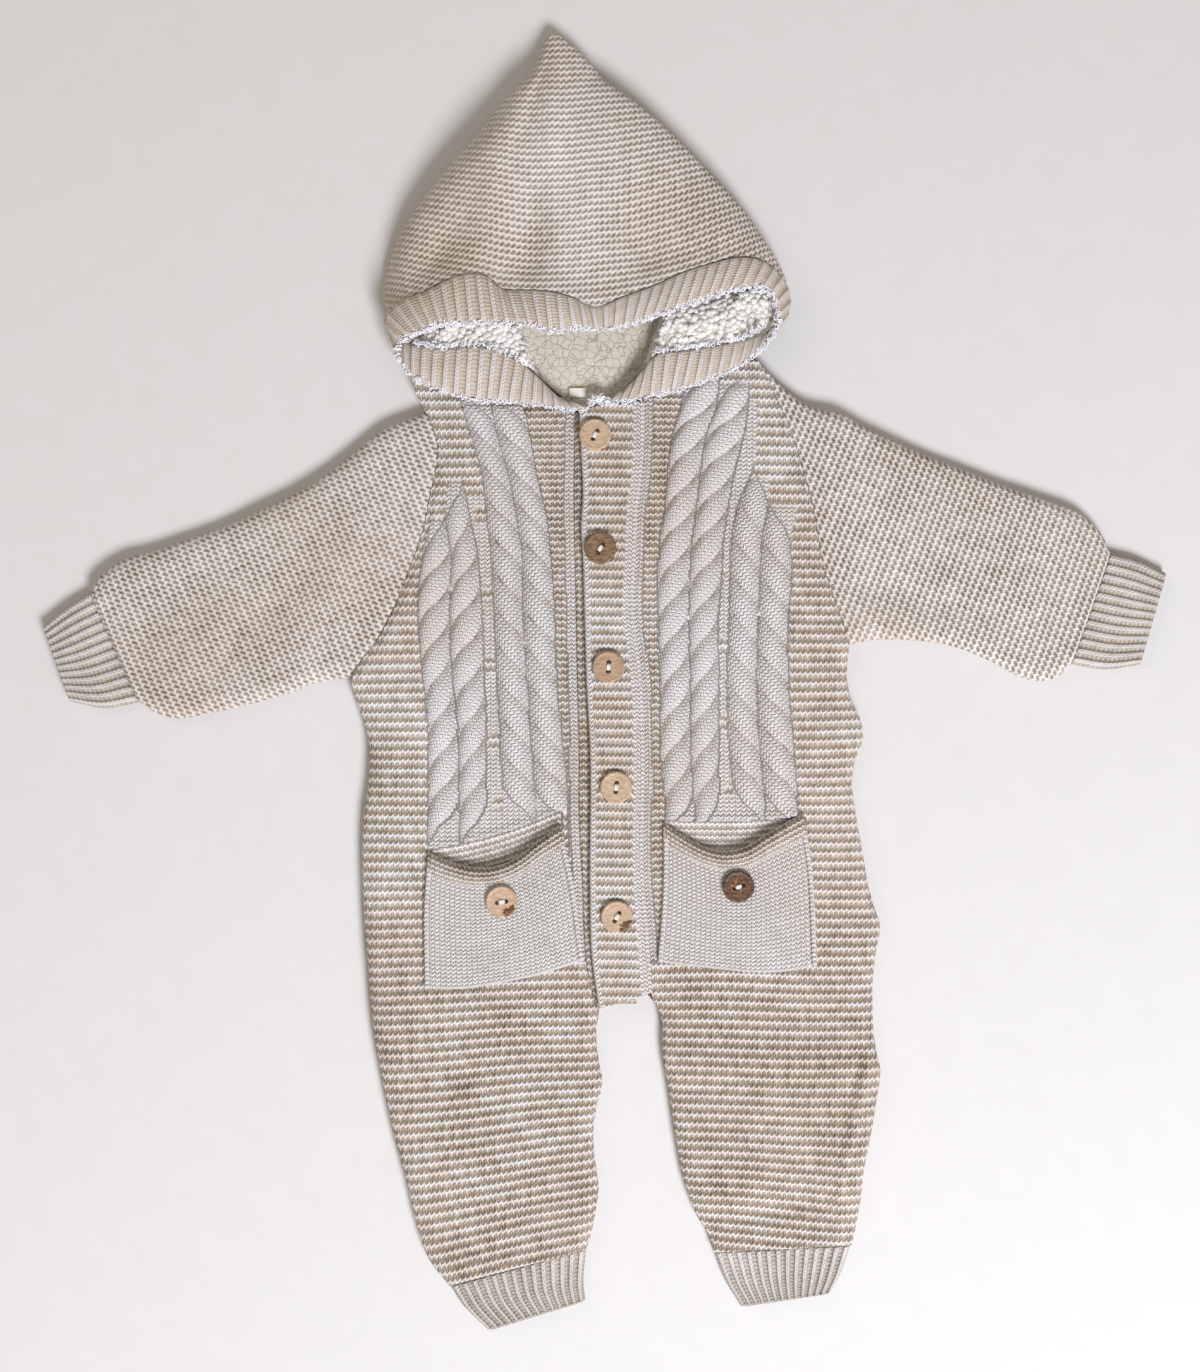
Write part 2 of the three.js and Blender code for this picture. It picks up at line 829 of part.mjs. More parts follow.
const hoodPlan = patch(hoodTip, mouthTop, hoodLeft, hoodRight);
const flatOf = (curve) => (share) => curve(share).slice(0, 2);
const hoodFloor = patch(flatOf(hoodTip), mouthBase, flatOf(hoodLeft), flatOf(hoodRight));

function hoodCrown(u, v) {
  const [x, y, z] = hoodPlan(u, v);
  const dome = (1 - Math.abs(2 * u - 1) ** 3) * Math.sin(Math.PI * v) ** 0.8;
  const soft = ease(Math.min(u, 1 - u) * 8) * ease(v * 4) * ease((1 - v) * 9);
  return [x, y, z + hoodPuff * dome + creaseAt(hoodCreases, x, y) * soft];
}

function hoodShell() {
  const across = 14;
  const ringAt = (v, inset, wall) => {
    const width = Math.hypot(hoodRight(v)[0] - hoodLeft(v)[0], hoodRight(v)[1] - hoodLeft(v)[1]);
    const shares = [];
    for (let i = 0; i <= across; i += 1) {
      const even = i / across;
      const share = mix(even, (1 - Math.cos(Math.PI * even)) / 2, 0.6);
      shares.push(mix(inset / width, 1 - inset / width, share));
    }
    const lip = (u) => mix(hoodLeft(v)[2], hoodRight(v)[2], u > 0.5 ? 1 : 0);
    const under = (u) => {
      const [x, y] = hoodFloor(u, v);
      const distance = Math.min(u, 1 - u) * width;
      return [x, y, Math.max(lip(u) * (1 - turned(distance, foldRadius)), 0) + wall];
    };
    const over = shares.map((u) => {
      const [x, y, z] = hoodCrown(u, v);
      return [x, y, z - wall];
    });
    const below = shares.slice(1, -1).map(under);
    if (wall > 0) {
      for (const end of [0, across]) {
        over[end][2] = (over[end][2] + under(shares[end])[2]) / 2;
      }
    }
    return [...over, ...below.reverse()];
  };
  const steps = [0, 0.04, 0.1, 0.18, 0.27, 0.37, 0.47, 0.57, 0.67, 0.76, 0.84, 0.91, 0.96, 1];
  const inside = [1, 0.9, 0.76, 0.6, 0.44, 0.3, 0.2];
  const skin = new Skin();
  const outsideRings = steps.map((v) => ringAt(v, 0, 0));
  const insideRings = inside.map((v) => ringAt(v, hoodWall, hoodWall));
  const loops = [...outsideRings, ...insideRings].map((points) => skin.loop(points));
  for (let i = 0; i < loops.length - 1; i += 1) skin.strip(loops[i], loops[i + 1], true);
  // Both closed ends are flat loops of a crown line and a floor line.
  const close = (loop, flip) => {
    for (let i = 0; i < across; i += 1) {
      const [a, b] = [loop[i], loop[i + 1]];
      const c = i === across - 1 ? b : loop[(loop.length - 1 - i) % loop.length];
      const d = i === 0 ? a : loop[loop.length - i];
      const faces = [];
      if (c !== b) faces.push([a, b, c]);
      if (d !== a) faces.push([a, c, d]);
      for (const [p, q, r] of faces) skin.faces.push(flip ? [p, r, q] : [p, q, r]);
    }
  };
  close(loops[0], false);
  close(loops[loops.length - 1], true);
  return skin.mesh("hood_shell", knitWarm);
}

// The ribbed band round the mouth, from its left end at the neck round to its right end.
const bandRows = [
  // [x, y, z] of the sewn edge, [x, y, z] of the free edge
  [-15, 157, 15.8, -9, 153.8, 16],
  [-23.2, 158.8, 17, -19, 153.8, 16.6],
  [-31, 165, 19, -30, 155.5, 17],
  [-38.7, 172, 20.5, -40, 156.6, 17],
  [-50, 180, 22, -54, 158, 17],
  [-69.7, 186.6, 23, -72, 159.5, 17.4],
  [-90, 185.6, 22, -92, 164.4, 18],
  [-104, 188, 19.5, -105, 170.6, 18],
  [-112, 191.6, 16.6, -112, 178, 17.8],
  [-118, 196, 14.6, -115.4, 184.5, 19],
  [-121.8, 201.4, 16, -114, 190, 22.5],
  [-121, 205.2, 20, -109, 192.6, 26.5],
  [-112, 211.9, 27, -102, 195.8, 30.5],
  [-99.5, 215.8, 32.4, -93, 198.4, 33.5],
  [-76.7, 224.4, 38, -74, 198.9, 38],
  [-66, 223.8, 38.8, -62, 198.6, 39],
  [-55.3, 216.4, 36.6, -50, 198.6, 39],
  [-45.7, 215.8, 37.6, -41, 197.8, 39.4],
  [-31, 214.8, 39.6, -29, 194.4, 39],
  [-18.5, 211.8, 40.5, -16, 196, 38.5],
  [-4.9, 206.3, 40.8, -3, 195.4, 37],
  [10.7, 211.8, 40.5, 9, 196.8, 38.5],
  [29, 218.8, 39, 23, 200.8, 39],
  [43.8, 225.8, 37, 37, 206, 37.5],
  [58.4, 230.8, 34.6, 52, 211.5, 35],
  [75, 235.2, 30.8, 68, 217.6, 32],
  [88, 234, 26.2, 82, 220.4, 28.6],
  [97, 228.4, 20.6, 91, 218.6, 25.4],
  [103, 219.6, 16.4, 96, 211.6, 22.5],
  [103.4, 210.4, 14.4, 97.4, 203.4, 20],
  [99, 203.4, 14, 94.6, 196.4, 18.4],
  [91, 197, 16.6, 88.4, 188.6, 17.8],
  [80, 191.6, 21, 77, 179.6, 17.6],
  [59.2, 186.8, 22.6, 56, 169.6, 17.4],
  [44.2, 184.4, 22.6, 40, 164.6, 17],
  [29.3, 182.2, 21.8, 27, 161.8, 17],
  [20.4, 173.4, 19.8, 15, 159.2, 17],
  [12.7, 165.6, 18, 8.4, 158, 16.6],
  [5.5, 160.4, 16.4, 2, 157, 16.2],
];
const bandFree = curveThrough(bandRows.map((row) => row.slice(3)));
const bandKeys = [0];
bandRows.forEach((row, i) => {
  if (i === 0) return;
  const before = bandRows[i - 1];
  const step = Math.hypot(...row.map((value, c) => value - before[c])) / Math.SQRT2;
  bandKeys.push(bandKeys[i - 1] + step);
});
const bandLine = smoothRows(bandKeys, bandRows);

function hoodBand() {
  const whole = bandKeys[bandKeys.length - 1];
  const ribs = Math.round(bandFree.reach / bandRibPitch);
  const stations = ribs * 2;
  const sewn = 0.07; // keeps the sewn edge clear of the hood
  const middle = (key, share) => {
    const row = bandLine(key);
    const bulge = 1.2 * Math.sin(Math.PI * share);
    return new THREE.Vector3(
      mix(row[0], row[3], share),
      mix(row[1], row[4], share),
      mix(row[2], row[5], share) + bulge,
    );
  };
  const skin = new Skin();
  const loops = [];
  for (let i = 0; i <= stations; i += 1) {
    const key = (whole * i) / stations;
    const along = middle(Math.min(key + 1, whole), 0.5).sub(middle(Math.max(key - 1, 0), 0.5));
    const across = middle(key, 1).sub(middle(key, 0));
    const normal = along.cross(across).normalize();
    const half = bandWall / 2 + (i % 2 ? bandRib / 2 : -bandRib / 2);
    const place = (share, side) => middle(key, share).addScaledVector(normal, side * half).toArray();
    loops.push(skin.loop([place(sewn, 1), place(0.5, 1), place(1, 1), place(1, -1), place(sewn, -1)]));
  }
  for (let i = 0; i < stations; i += 1) skin.strip(loops[i], loops[i + 1], true);
  skin.fan(loops[0]);
  skin.fan([...loops[stations]].reverse());
  return skin.mesh("hood_band", knitWarm);
}

// The pile lining that shows in the mouth: two cheeks and the back of the neck between them.
const liningStart = byPlace([
  // [x, y] where the lining leaves the band
  [-112, 195.4],
  [-100, 191.4],
  [-88, 189.4],
  [-69.7, 190.4],
  [-56, 187.4],
  [-45, 182],
  [-36, 174.4],
  [-30, 168.6],
  [-22, 162.4],
  [-13, 159.8],
  [2, 162.4],
  [11, 169],
  [18, 176.4],
  [24, 183.6],
  [30, 186],
  [44.2, 188.2],
  [60, 190.8],
  [76, 194.6],
  [88, 201],
  [93, 206],
]);
const liningEnd = 222;

function liningHeight(x, y, start) {
  const leftStep = -47 + (202 - y) * 0.37;
  const rightStep = 29 - (201 - y) * 0.3;
  const cheek = ease((leftStep - x) / 8) + ease((x - rightStep) / 8);
  const toCorner = Math.min(x + 114, 96 - x);
  const cheekTop = mix(11, 22.5, ease(toCorner / 34));
  const inY = y - start;
  const roll = ease(inY / 6 + 0.75) * (1 - 0.5 * ease((inY - 16) / 18));
  const neck = 10 + 1.2 * ease((x + 40) / 20) * ease((20 - x) / 20);
  return mix(neck, mix(neck, cheekTop, roll), cheek);
}

function hoodLining() {
  const columns = 30;
  const rows = [];
  for (const depth of [0, 0.08, 0.18, 0.3, 0.45, 0.62, 0.8, 1].reverse()) {
    const row = [];
    for (let i = 0; i <= columns; i += 1) {
      const x = mix(-111, 92, i / columns);
      const start = liningStart(x);
      const y = mix(start, liningEnd - 26 * Math.abs(i / columns - 0.5) ** 3, depth);
      row.push([x, y, liningHeight(x, y, start)]);
    }
    rows.push(row);
  }
  return wallOver("hood_lining", pile, rows, liningWall, () => frontBase + seamGap);
}

// A wall of even thickness under a surface of rows with the same count, no lower than its floor.
function wallOver(name, finish, rows, thickness, floorAt) {
  const skin = new Skin();
  const top = rows.map((row) => skin.loop(row));
  const lower = ([x, y, z]) => [x, y, Math.max(z - thickness, floorAt(x, y))];
  const below = rows.map((row) => skin.loop(row.map(lower)));
  for (let i = 0; i < rows.length - 1; i += 1) {
    skin.strip(top[i], top[i + 1]);
    skin.strip(below[i + 1], below[i]);
  }
  skin.strip(rimOf(top), rimOf(below), true);
  return skin.mesh(name, finish);
}

// Button band

const overLeft = byHeight([
  // [y, x] of the band's free edge
  [153, -14],
  [129, -13],
  [105, -12],
  [88, -13],
  [71, -12],
  [38, -11],
  [2, -10],
  [-37, -8],
  [-115, -8],
  [-153, -7],
  [-183, -3],
]);

function placketOver() {
  const rows = [];
  const count = 28;
  for (let i = 0; i <= count; i += 1) {
    const leftY = mix(152.6, -183, i / count);
    const rightY = mix(157.4, -174.4, i / count);
    const from = overLeft(leftY)[0];
    const to = rightEdge(rightY)[0] - seamGap - 0.4;
    rows.push(
      [0, 0.05, 0.3, 0.6, 0.85, 1].map((share) => {
        const x = mix(from, to, share);
        const y = mix(leftY, rightY, share);
        const edge = 1.4 * (1 - turned(x - from, 2.5));
        return [x, y, placketTop - edge - 2.4 * (1 - turned(to - x, 7))];
      }),
    );
  }
  const floorAt = (x, y) => placketBase - 2.6 * ease((x - rightEdge(y)[0] + 8) / 6);
  return wallOver("placket_over", knitLight, rows, placketTop - placketBase, floorAt);
}

function placketUnder() {
  const rows = [];
  const count = 12;
  for (let i = 0; i <= count; i += 1) {
    const y = mix(152, -168, i / count);
    const from = leftEdge(y)[0] + 2 * seamGap;
    const to = rightEdge(y)[0] - 10;
    const top = placketBase - 2 * seamGap;
    rows.push([
      [from, y, top - 1.2],
      [mix(from, to, 0.3), y, top],
      [to, y, top],
    ]);
  }
  return panel("placket_under", knitLight, rows, frontBase);
}

// Patch pockets: edge lines, and a rolled top edge that sags between its corners
const pocketShapes = {
  pocket_left: {
    left: [
      [-99, -95],
      [-101, -120],
      [-101, -172],
    ],
    right: [
      [-24, -80],
      [-17, -112],
      [-11, -156],
    ],
    roll: [
      [-99, -95],
      [-87, -103],
      [-73, -108],
      [-60, -107],
      [-48, -101],
      [-37, -91],
      [-24, -80],
    ],
    hem: [
      [-101, -172],
      [-79, -172],
      [-60, -169],
      [-40, -165],
      [-11, -156],
    ],
  },
  pocket_right: {
    left: [
      [33, -78],
      [33, -115],
      [30, -157],
    ],
    right: [
      [112, -73],
      [116, -95],
      [120, -159],
    ],
    roll: [
      [33, -78],
      [45, -89],
      [56, -96],
      [68, -99],
      [80, -96],
      [91, -88],
      [103, -80],
      [112, -73],
    ],
    hem: [
      [30, -157],
      [47, -159],
      [66, -161],
      [86, -163],
      [105, -162],
      [120, -159],
    ],
  },
};

function pocket(name) {
  const { left, right, roll, hem } = pocketShapes[name];
  const plan = patch(curveThrough(roll), curveThrough(hem), curveThrough(left), curveThrough(right));
  const base = frontTop + seamGap;
  const rollShare = 0.085; // of the pocket's depth
  const rows = [0, 0.02, 0.045, 0.07, rollShare, 0.3, 0.5, 0.7, 0.9, 0.98, 1].map((v) => {
    const places = [0, 0.03, 0.12, 0.25, 0.38, 0.5, 0.62, 0.75, 0.88, 0.97, 1];
    return places.map((u) => {
      const [x, y] = plan(u, v);
      const rolled = Math.sin(Math.PI * clamp(v / rollShare));
      const thin = 1.4 * Math.max(1 - Math.min(u, 1 - u) / 0.03, 1 - (1 - v) / 0.02, 1 - v / 0.02, 0);
      return [x, y, base + pocketWall - thin + pocketRoll * rolled * Math.sin(Math.PI * mix(0.1, 0.9, u))];
    });
  });
  return panel(name, knitLight, rows, base);
}

// Buttons: [x, y, height of what they lie on, turn of their two holes in degrees]
const buttonPlaces = {
  button_1: [-5, 139, placketTop, 62],
  button_2: [-2, 75.5, placketTop, 60],
  button_3: [2.5, 9, placketTop, 86],
  button_4: [6.8, -58.5, placketTop, 84],
  button_5: [7.2, -131, placketTop, 60],
  pocket_button_left: [-57.4, -122.6, frontTop + seamGap + pocketWall, 10],
  pocket_button_right: [75.4, -114.2, frontTop + seamGap + pocketWall, 20],
};

function button(name) {
  const [x, y, under, turn] = buttonPlaces[name];
  const { radius, height, bevel, hole, holeGap, sides, holeSides } = buttonSize;
  const ring = (middle, size, count) => {
    const points = [];
    for (let i = 0; i < count; i += 1) {
      const angle = (2 * Math.PI * i) / count;
      points.push(new THREE.Vector2(middle + size * Math.cos(angle), size * Math.sin(angle)));
    }
    return points;
  };
  const face = new THREE.Shape(ring(0, radius - bevel, sides));
  face.holes.push(new THREE.Path(ring(holeGap / 2, hole + bevel / 2, holeSides)));
  face.holes.push(new THREE.Path(ring(-holeGap / 2, hole + bevel / 2, holeSides)));
  const geometry = new THREE.ExtrudeGeometry(face, {
    depth: height - 2 * bevel,
    bevelEnabled: true,
    bevelThickness: bevel,
    bevelSize: bevel,
    bevelSegments: 1,
  });
  const mesh = named(name, geometry, wood);
  mesh.position.set(x, y, under + seamGap + bevel);
  mesh.rotation.z = THREE.MathUtils.degToRad(turn);
  return mesh;
}

// The bare size label at the back of the neck.
function sizeLabel() {
  const mesh = named("size_label", new THREE.BoxGeometry(9.5, 5, 0.7), tape);
  mesh.position.set(-14.8, 163.4, 12.2);
  mesh.rotation.x = THREE.MathUtils.degToRad(4);
  return mesh;
}

// The whole romper, moved so that the middle of its box stands over the origin.
const laid = new THREE.Group();
laid.add(
  backPanel(),
  frontPanel("front_left", leftSide, leftEdge, leftCables, leftCreases, {
    mirrored: false,
    sideTop: 171,
    edgeTop: 160,
    sideEnd: -340.5,
    edgeEnd: -319.5,
    underarm: 2,
    edgeFork: -172,
    cableEnd: -92,
  }),
  frontPanel("front_right", rightSide, rightEdge, rightCables, rightCreases, {
    mirrored: true,
    sideTop: 182,
    edgeTop: 170,
    sideEnd: -317.4,
    edgeEnd: -321.4,
    underarm: 21,
    edgeFork: -174,
    cableEnd: -84,
  }),
  ...Object.keys(sleeveShapes).map(sleeve),
  ...Object.keys(cuffShapes).map(cuff),
  hoodShell(),
  hoodBand(),
  hoodLining(),
  placketOver(),
  placketUnder(),
  ...Object.keys(pocketShapes).map(pocket),
  ...Object.keys(buttonPlaces).map(button),
  sizeLabel(),
);
const romper = new THREE.Group();
romper.add(laid);
const box = new THREE.Box3().setFromObject(romper);
const middle = box.getCenter(new THREE.Vector3());
laid.position.set(-middle.x, -middle.y, -box.min.z);

export default romper;
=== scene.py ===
# A baby romper in oatmeal melange yarn, hooded and knitted, laid flat on a pale floor with its front up.
import math

import bmesh
import bpy
import numpy as np
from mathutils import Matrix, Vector
from mathutils.geometry import tessellate_polygon


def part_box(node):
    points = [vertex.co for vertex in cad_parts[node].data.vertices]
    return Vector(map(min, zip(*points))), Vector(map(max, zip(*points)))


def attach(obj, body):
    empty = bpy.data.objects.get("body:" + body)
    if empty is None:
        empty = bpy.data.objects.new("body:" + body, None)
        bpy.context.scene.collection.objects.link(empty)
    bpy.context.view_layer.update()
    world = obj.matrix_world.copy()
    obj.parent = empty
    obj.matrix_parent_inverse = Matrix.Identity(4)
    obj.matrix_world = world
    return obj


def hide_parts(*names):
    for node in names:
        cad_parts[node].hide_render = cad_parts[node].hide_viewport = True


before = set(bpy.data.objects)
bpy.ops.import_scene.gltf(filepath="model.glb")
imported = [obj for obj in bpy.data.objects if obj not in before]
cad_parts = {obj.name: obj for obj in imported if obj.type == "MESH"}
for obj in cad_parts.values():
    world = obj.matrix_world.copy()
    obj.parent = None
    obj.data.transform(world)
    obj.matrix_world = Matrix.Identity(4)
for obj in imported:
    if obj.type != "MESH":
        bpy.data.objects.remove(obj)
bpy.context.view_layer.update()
mm = 0.001

# The tables below are in millimetres on the garment's own drawing, where button 3 sits at this place.
drawing = {"buttonThree": (2.5, 9.0)}
lowButton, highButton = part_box("button_3")
shiftX = (lowButton.x + highButton.x) / 2 - drawing["buttonThree"][0] * mm
shiftY = (lowButton.y + highButton.y) / 2 - drawing["buttonThree"][1] * mm

heights = {
    "gap": 0.3,        # between pieces that are sewn together
    "backWall": 5.0,
    "frontTop": 11.6,  # plain knit of the fronts
    "foldRadius": 11.0,
    "foldLip": 6.0,
    "seamRadius": 5.0,
    "seamHeight": 10.6,
    "sleeveTop": 11.4,
    "cuffTop": 8.2,
    "placketTop": 15.4,
    "pocketWall": 2.8,
}
stitch = {
    "wide": 2.9,    # one stitch of the body
    "ridge": 5.3,   # one garter ridge of the body: two rows
    "row": 2.4,     # one row of plain knit
    "fine": 3.8,    # one ridge of the sleeves and the hood
}


def mix(a, b, t):
    return a + (b - a) * t


def ease(x):
    x = np.clip(x, 0, 1)
    return x * x * (3 - 2 * x)


def smoothRows(keys, rows):
    # a smooth line through rows of numbers at rising keys: keys of any shape give rows
    keys = np.array(keys, float)
    rows = np.array(rows, float)
    span = np.diff(keys)
    rise = np.diff(rows, axis=0) / span[:, None]
    slopes = np.empty_like(rows)
    slopes[0], slopes[-1] = rise[0], rise[-1]
    before, after = span[:-1, None], span[1:, None]
    slopes[1:-1] = (rise[:-1] * after + rise[1:] * before) / (before + after)

    def read(key):
        at = np.clip(key, keys[0], keys[-1])
        i = np.clip(np.searchsorted(keys, at, side="right") - 1, 0, len(span) - 1)
        wide = span[i][..., None]
        t = (at - keys[i])[..., None] / wide
        t2, t3 = t * t, t * t * t
        low = rows[i] * (2 * t3 - 3 * t2 + 1) + slopes[i] * wide * (t3 - 2 * t2 + t)
        return low + rows[i + 1] * (3 * t2 - 2 * t3) + slopes[i + 1] * wide * (t3 - t2)
    return read


def byHeight(rows):
    # rows of [y, value, ...] from the top down
    rows = np.array(rows, float)
    read = smoothRows(-rows[:, 0], rows[:, 1:])
    return lambda y: read(-np.asarray(y, float))


def curveThrough(points):
    # a smooth line through points, read by its share from 0 to 1
    points = np.array(points, float)
    keys = np.concatenate([[0], np.cumsum(np.linalg.norm(np.diff(points, axis=0), axis=1))])
    read = smoothRows(keys, points)
    return lambda share: read(np.asarray(share, float) * keys[-1])


def patchOf(top, bottom, left, right):
    # a patch between four edge lines: u from left to right, v from top to bottom
    ends = [np.array(line(np.array(at)), float) for line in (top, bottom) for at in (0.0, 1.0)]

    def at(u, v):
        across, down = u[..., None], v[..., None]
        flat = mix(mix(ends[0], ends[1], across), mix(ends[2], ends[3], across), down)
        return mix(left(v), right(v), across) + mix(top(u), bottom(u), down) - flat
    return at


def turned(distance, radius):
    # how far a fold at an edge has risen, from 0 to 1
    return np.sqrt(1 - (1 - np.clip(distance / radius, 0, 1)) ** 2)


def creaseAt(creases, x, y):
    # rows of [middle x, y, half length, half width, lean in degrees, height]
    total = np.zeros_like(x)
    for atX, atY, halfLength, halfWidth, lean, height in creases:
        turn = math.radians(lean)
        run = (x - atX) * math.cos(turn) + (y - atY) * math.sin(turn)
        across = (y - atY) * math.cos(turn) - (x - atX) * math.sin(turn)
        total += height * np.exp(-((run / halfLength) ** 2) - (across / halfWidth) ** 2)
    return total


def wobble(x, y, size, seed):
    # soft uneven waves about -1 to 1, of a size in millimetres
    a = np.sin(x / size + 1.7 * seed + 0.8 * np.sin(y / size * 0.7 + seed))
    b = np.sin(y / size * 0.83 + 2.3 * seed + 0.9 * np.sin(x / size * 0.61 - seed))
    c = np.sin((x + y) / size * 0.47 + 3.1 * seed)
    return (a + b + c) / 2.4


def garterRelief(u, v):
    # ridges of purl bumps: u counts stitches and v counts ridges
    ridge = 0.5 + 0.5 * np.cos(2 * np.pi * (v - 0.12 * np.cos(2 * np.pi * u)))
    return ridge ** 0.8


def inScene(points):
    # from millimetres on the drawing to metres in the frame
    return np.asarray(points) * mm + np.array([shiftX, shiftY, 0.0])


def newObject(name, data):
    piece = bpy.data.objects.new(name, data)
    bpy.context.scene.collection.objects.link(piece)
    return piece


def looped(ring):
    return np.append(ring, ring[0])


def edgesOf(ids):
    # the four edges of a grid, the way round
    return ids[0], ids[:, -1], ids[-1][::-1], ids[::-1, 0]


class Cloth:
    # points, stitch coordinates and faces of one closed piece of cloth

    def __init__(self):
        self.points, self.knit, self.strand, self.masks, self.paintedShades = [], [], [], [], []
        self.faces = []
        self.count = 0

    def grid(self, points, knit, strand=None, mask=0.0, groove=0.0):
        # points and coordinates row by row; gives the indices in the same shape
        shape = points.shape[:-1]
        size = int(np.prod(shape))
        self.points.append(points.reshape(-1, 3))
        self.knit.append(np.broadcast_to(knit, shape + (2,)).reshape(-1, 2))
        strand = knit if strand is None else strand
        self.strand.append(np.broadcast_to(strand, shape + (2,)).reshape(-1, 2))
        self.masks.append(np.broadcast_to(mask, shape).reshape(-1))
        self.paintedShades.append(np.broadcast_to(groove, shape).reshape(-1))
        ids = np.arange(self.count, self.count + size).reshape(shape)
        self.count += size
        return ids

    def add(self, faces):
        self.faces.append(np.asarray(faces, int))

    def cells(self, ids, closed=False):
        following = np.roll(ids, -1, axis=1) if closed else ids[:, 1:]
        current = ids if closed else ids[:, :-1]
        faces = np.stack([current[:-1], current[1:], following[1:], following[:-1]], -1)
        self.add(faces.reshape(-1, 4))

    def rim(self, fine, coarse):
        # joins a fine line to a coarse one, whose cells are a whole number of the fine line's
        step = (len(fine) - 1) // (len(coarse) - 1)
        faces = []
        for j in range(len(coarse) - 1):
            part = fine[j * step:j * step + step + 1]
            a, b = coarse[j], coarse[j + 1]
            half = (step + 1) // 2
            faces += [(a, part[i], part[i + 1]) for i in range(half)]
            faces.append((a, part[half], b))
            faces += [(b, part[i], part[i + 1]) for i in range(half, step)]
        self.add(faces)

    def cap(self, ring, outward=True):
        # closes a ring with a fan on a point at its middle
        everything = np.concatenate(self.points)
        middle = everything[ring].mean(0)[None]
        knit = np.concatenate(self.knit)[ring].mean(0)[None]
        centre = self.grid(middle, knit)[0]
        following = np.roll(ring, -1)
        pair = (ring, following) if outward else (following, ring)
        self.add(np.stack([pair[0], pair[1], np.full(len(ring), centre)], -1))

    def closedTube(self, ids):
        # rings of a thin tube, closed at both ends
        self.cells(ids, closed=True)
        self.cap(ids[0])
        self.cap(ids[-1], outward=False)

    def mesh(self, name, material):
        points = inScene(np.concatenate(self.points))
        corners = np.concatenate([faces.reshape(-1) for faces in self.faces])
        sizes = np.concatenate([np.full(len(faces), faces.shape[1]) for faces in self.faces])
        if volumeOf(points, self.faces) < 0:
            starts = np.cumsum(sizes) - sizes
            order = np.concatenate([np.arange(s + n - 1, s - 1, -1) for s, n in zip(starts, sizes)])
            corners = corners[order]
        data = bpy.data.meshes.new(name)
        data.vertices.add(len(points))
        data.vertices.foreach_set("co", points.ravel())
        data.loops.add(len(corners))
        data.loops.foreach_set("vertex_index", corners)
        data.polygons.add(len(sizes))
        data.polygons.foreach_set("loop_start", np.cumsum(sizes) - sizes)
        data.polygons.foreach_set("use_smooth", np.ones(len(sizes), bool))
        data.update(calc_edges=True)
        for label, values in (("knit", self.knit), ("strand", self.strand)):
            uv = np.concatenate(values)[corners]
            data.uv_layers.new(name=label).data.foreach_set("uv", uv.ravel())
        for label, values in (("cable", self.masks), ("groove", self.paintedShades)):
            layer = data.attributes.new(label, "FLOAT", "POINT")
            layer.data.foreach_set("value", np.concatenate(values).astype(np.float32))
        data.validate()
        data.materials.append(material)
        return newObject(name, data)


def volumeOf(points, faceLists):
    total = 0.0
    for faces in faceLists:
        for k in range(1, faces.shape[1] - 1):
            a, b, c = points[faces[:, 0]], points[faces[:, k]], points[faces[:, k + 1]]
            total += np.einsum("ij,ij->", a, np.cross(b, c))
    return total


def slab(name, material, top, knit, below, coarse, strand=None, mask=0.0, groove=0.0):
    # a closed shell: a fine top, and an underside given by a function of a coarse choice of its points
    cloth = Cloth()
    upper = cloth.grid(top, knit, strand, mask, groove)
    cloth.cells(upper)
    few = (slice(None, None, coarse), slice(None, None, coarse))
    lower = cloth.grid(below(top[few]), knit[few])
    cloth.add(np.stack([lower[:-1, :-1], lower[:-1, 1:], lower[1:, 1:], lower[1:, :-1]], -1).reshape(-1, 4))
    for fine, few in zip(edgesOf(upper), edgesOf(lower)):
        cloth.rim(fine, few)
    return cloth.mesh(name, material)


def shares(count):
    return np.linspace(0, 1, count + 1)


def evenGrid(rows, columns):
    # v down the rows and u across the columns, from 0 to 1
    v, u = np.meshgrid(shares(rows), shares(columns), indexing="ij")
    return u, v


def joined(x, y, z=None):
    return np.stack([x, y] if z is None else [x, y, z], -1)


def atHeight(points, z):
    # the same places at another height
    return joined(points[..., 0], points[..., 1], np.broadcast_to(z, points.shape[:-1]))


def ringShares(counts, evenness):
    # shares across the top and back below it, closer at both edges, and which of them lie on top
    over, under = [mix(half, (1 - np.cos(np.pi * half)) / 2, evenness) for half in map(shares, counts)]
    u = np.concatenate([over, under[::-1][1:-1]])
    return u, np.arange(len(u)) < len(over)


# Materials

def linear(code):
    # an sRGB hex colour, in the linear values that Blender wants
    parts = [int(code[i:i + 2], 16) / 255 for i in (1, 3, 5)]
    return [c / 12.92 if c <= 0.04045 else ((c + 0.055) / 1.055) ** 2.4 for c in parts] + [1.0]


def addNode(tree, kind, inputs=(), **settings):
    # one node with its settings, its values and its links: a socket given as a value is linked
    node = tree.nodes.new(kind)
    for name, value in settings.items():
        setattr(node, name, value)
    for key, value in inputs.items() if isinstance(inputs, dict) else enumerate(inputs):
        if isinstance(value, bpy.types.NodeSocket):
            tree.links.new(value, node.inputs[key])
        elif value is not None:
            node.inputs[key].default_value = value
    return node


def fromNode(tree, kind, inputs=(), output=0, **settings):
    # one output of a new node
    return addNode(tree, kind, inputs, **settings).outputs[output]


def noise(tree, where, size, detail, output=0, distortion=0.0):
    # soft noise with grains of a size in millimetres
    inputs = {"Vector": where, "Scale": 1 / (size * mm), "Detail": detail, "Distortion": distortion}
    return fromNode(tree, "ShaderNodeTexNoise", inputs, output)


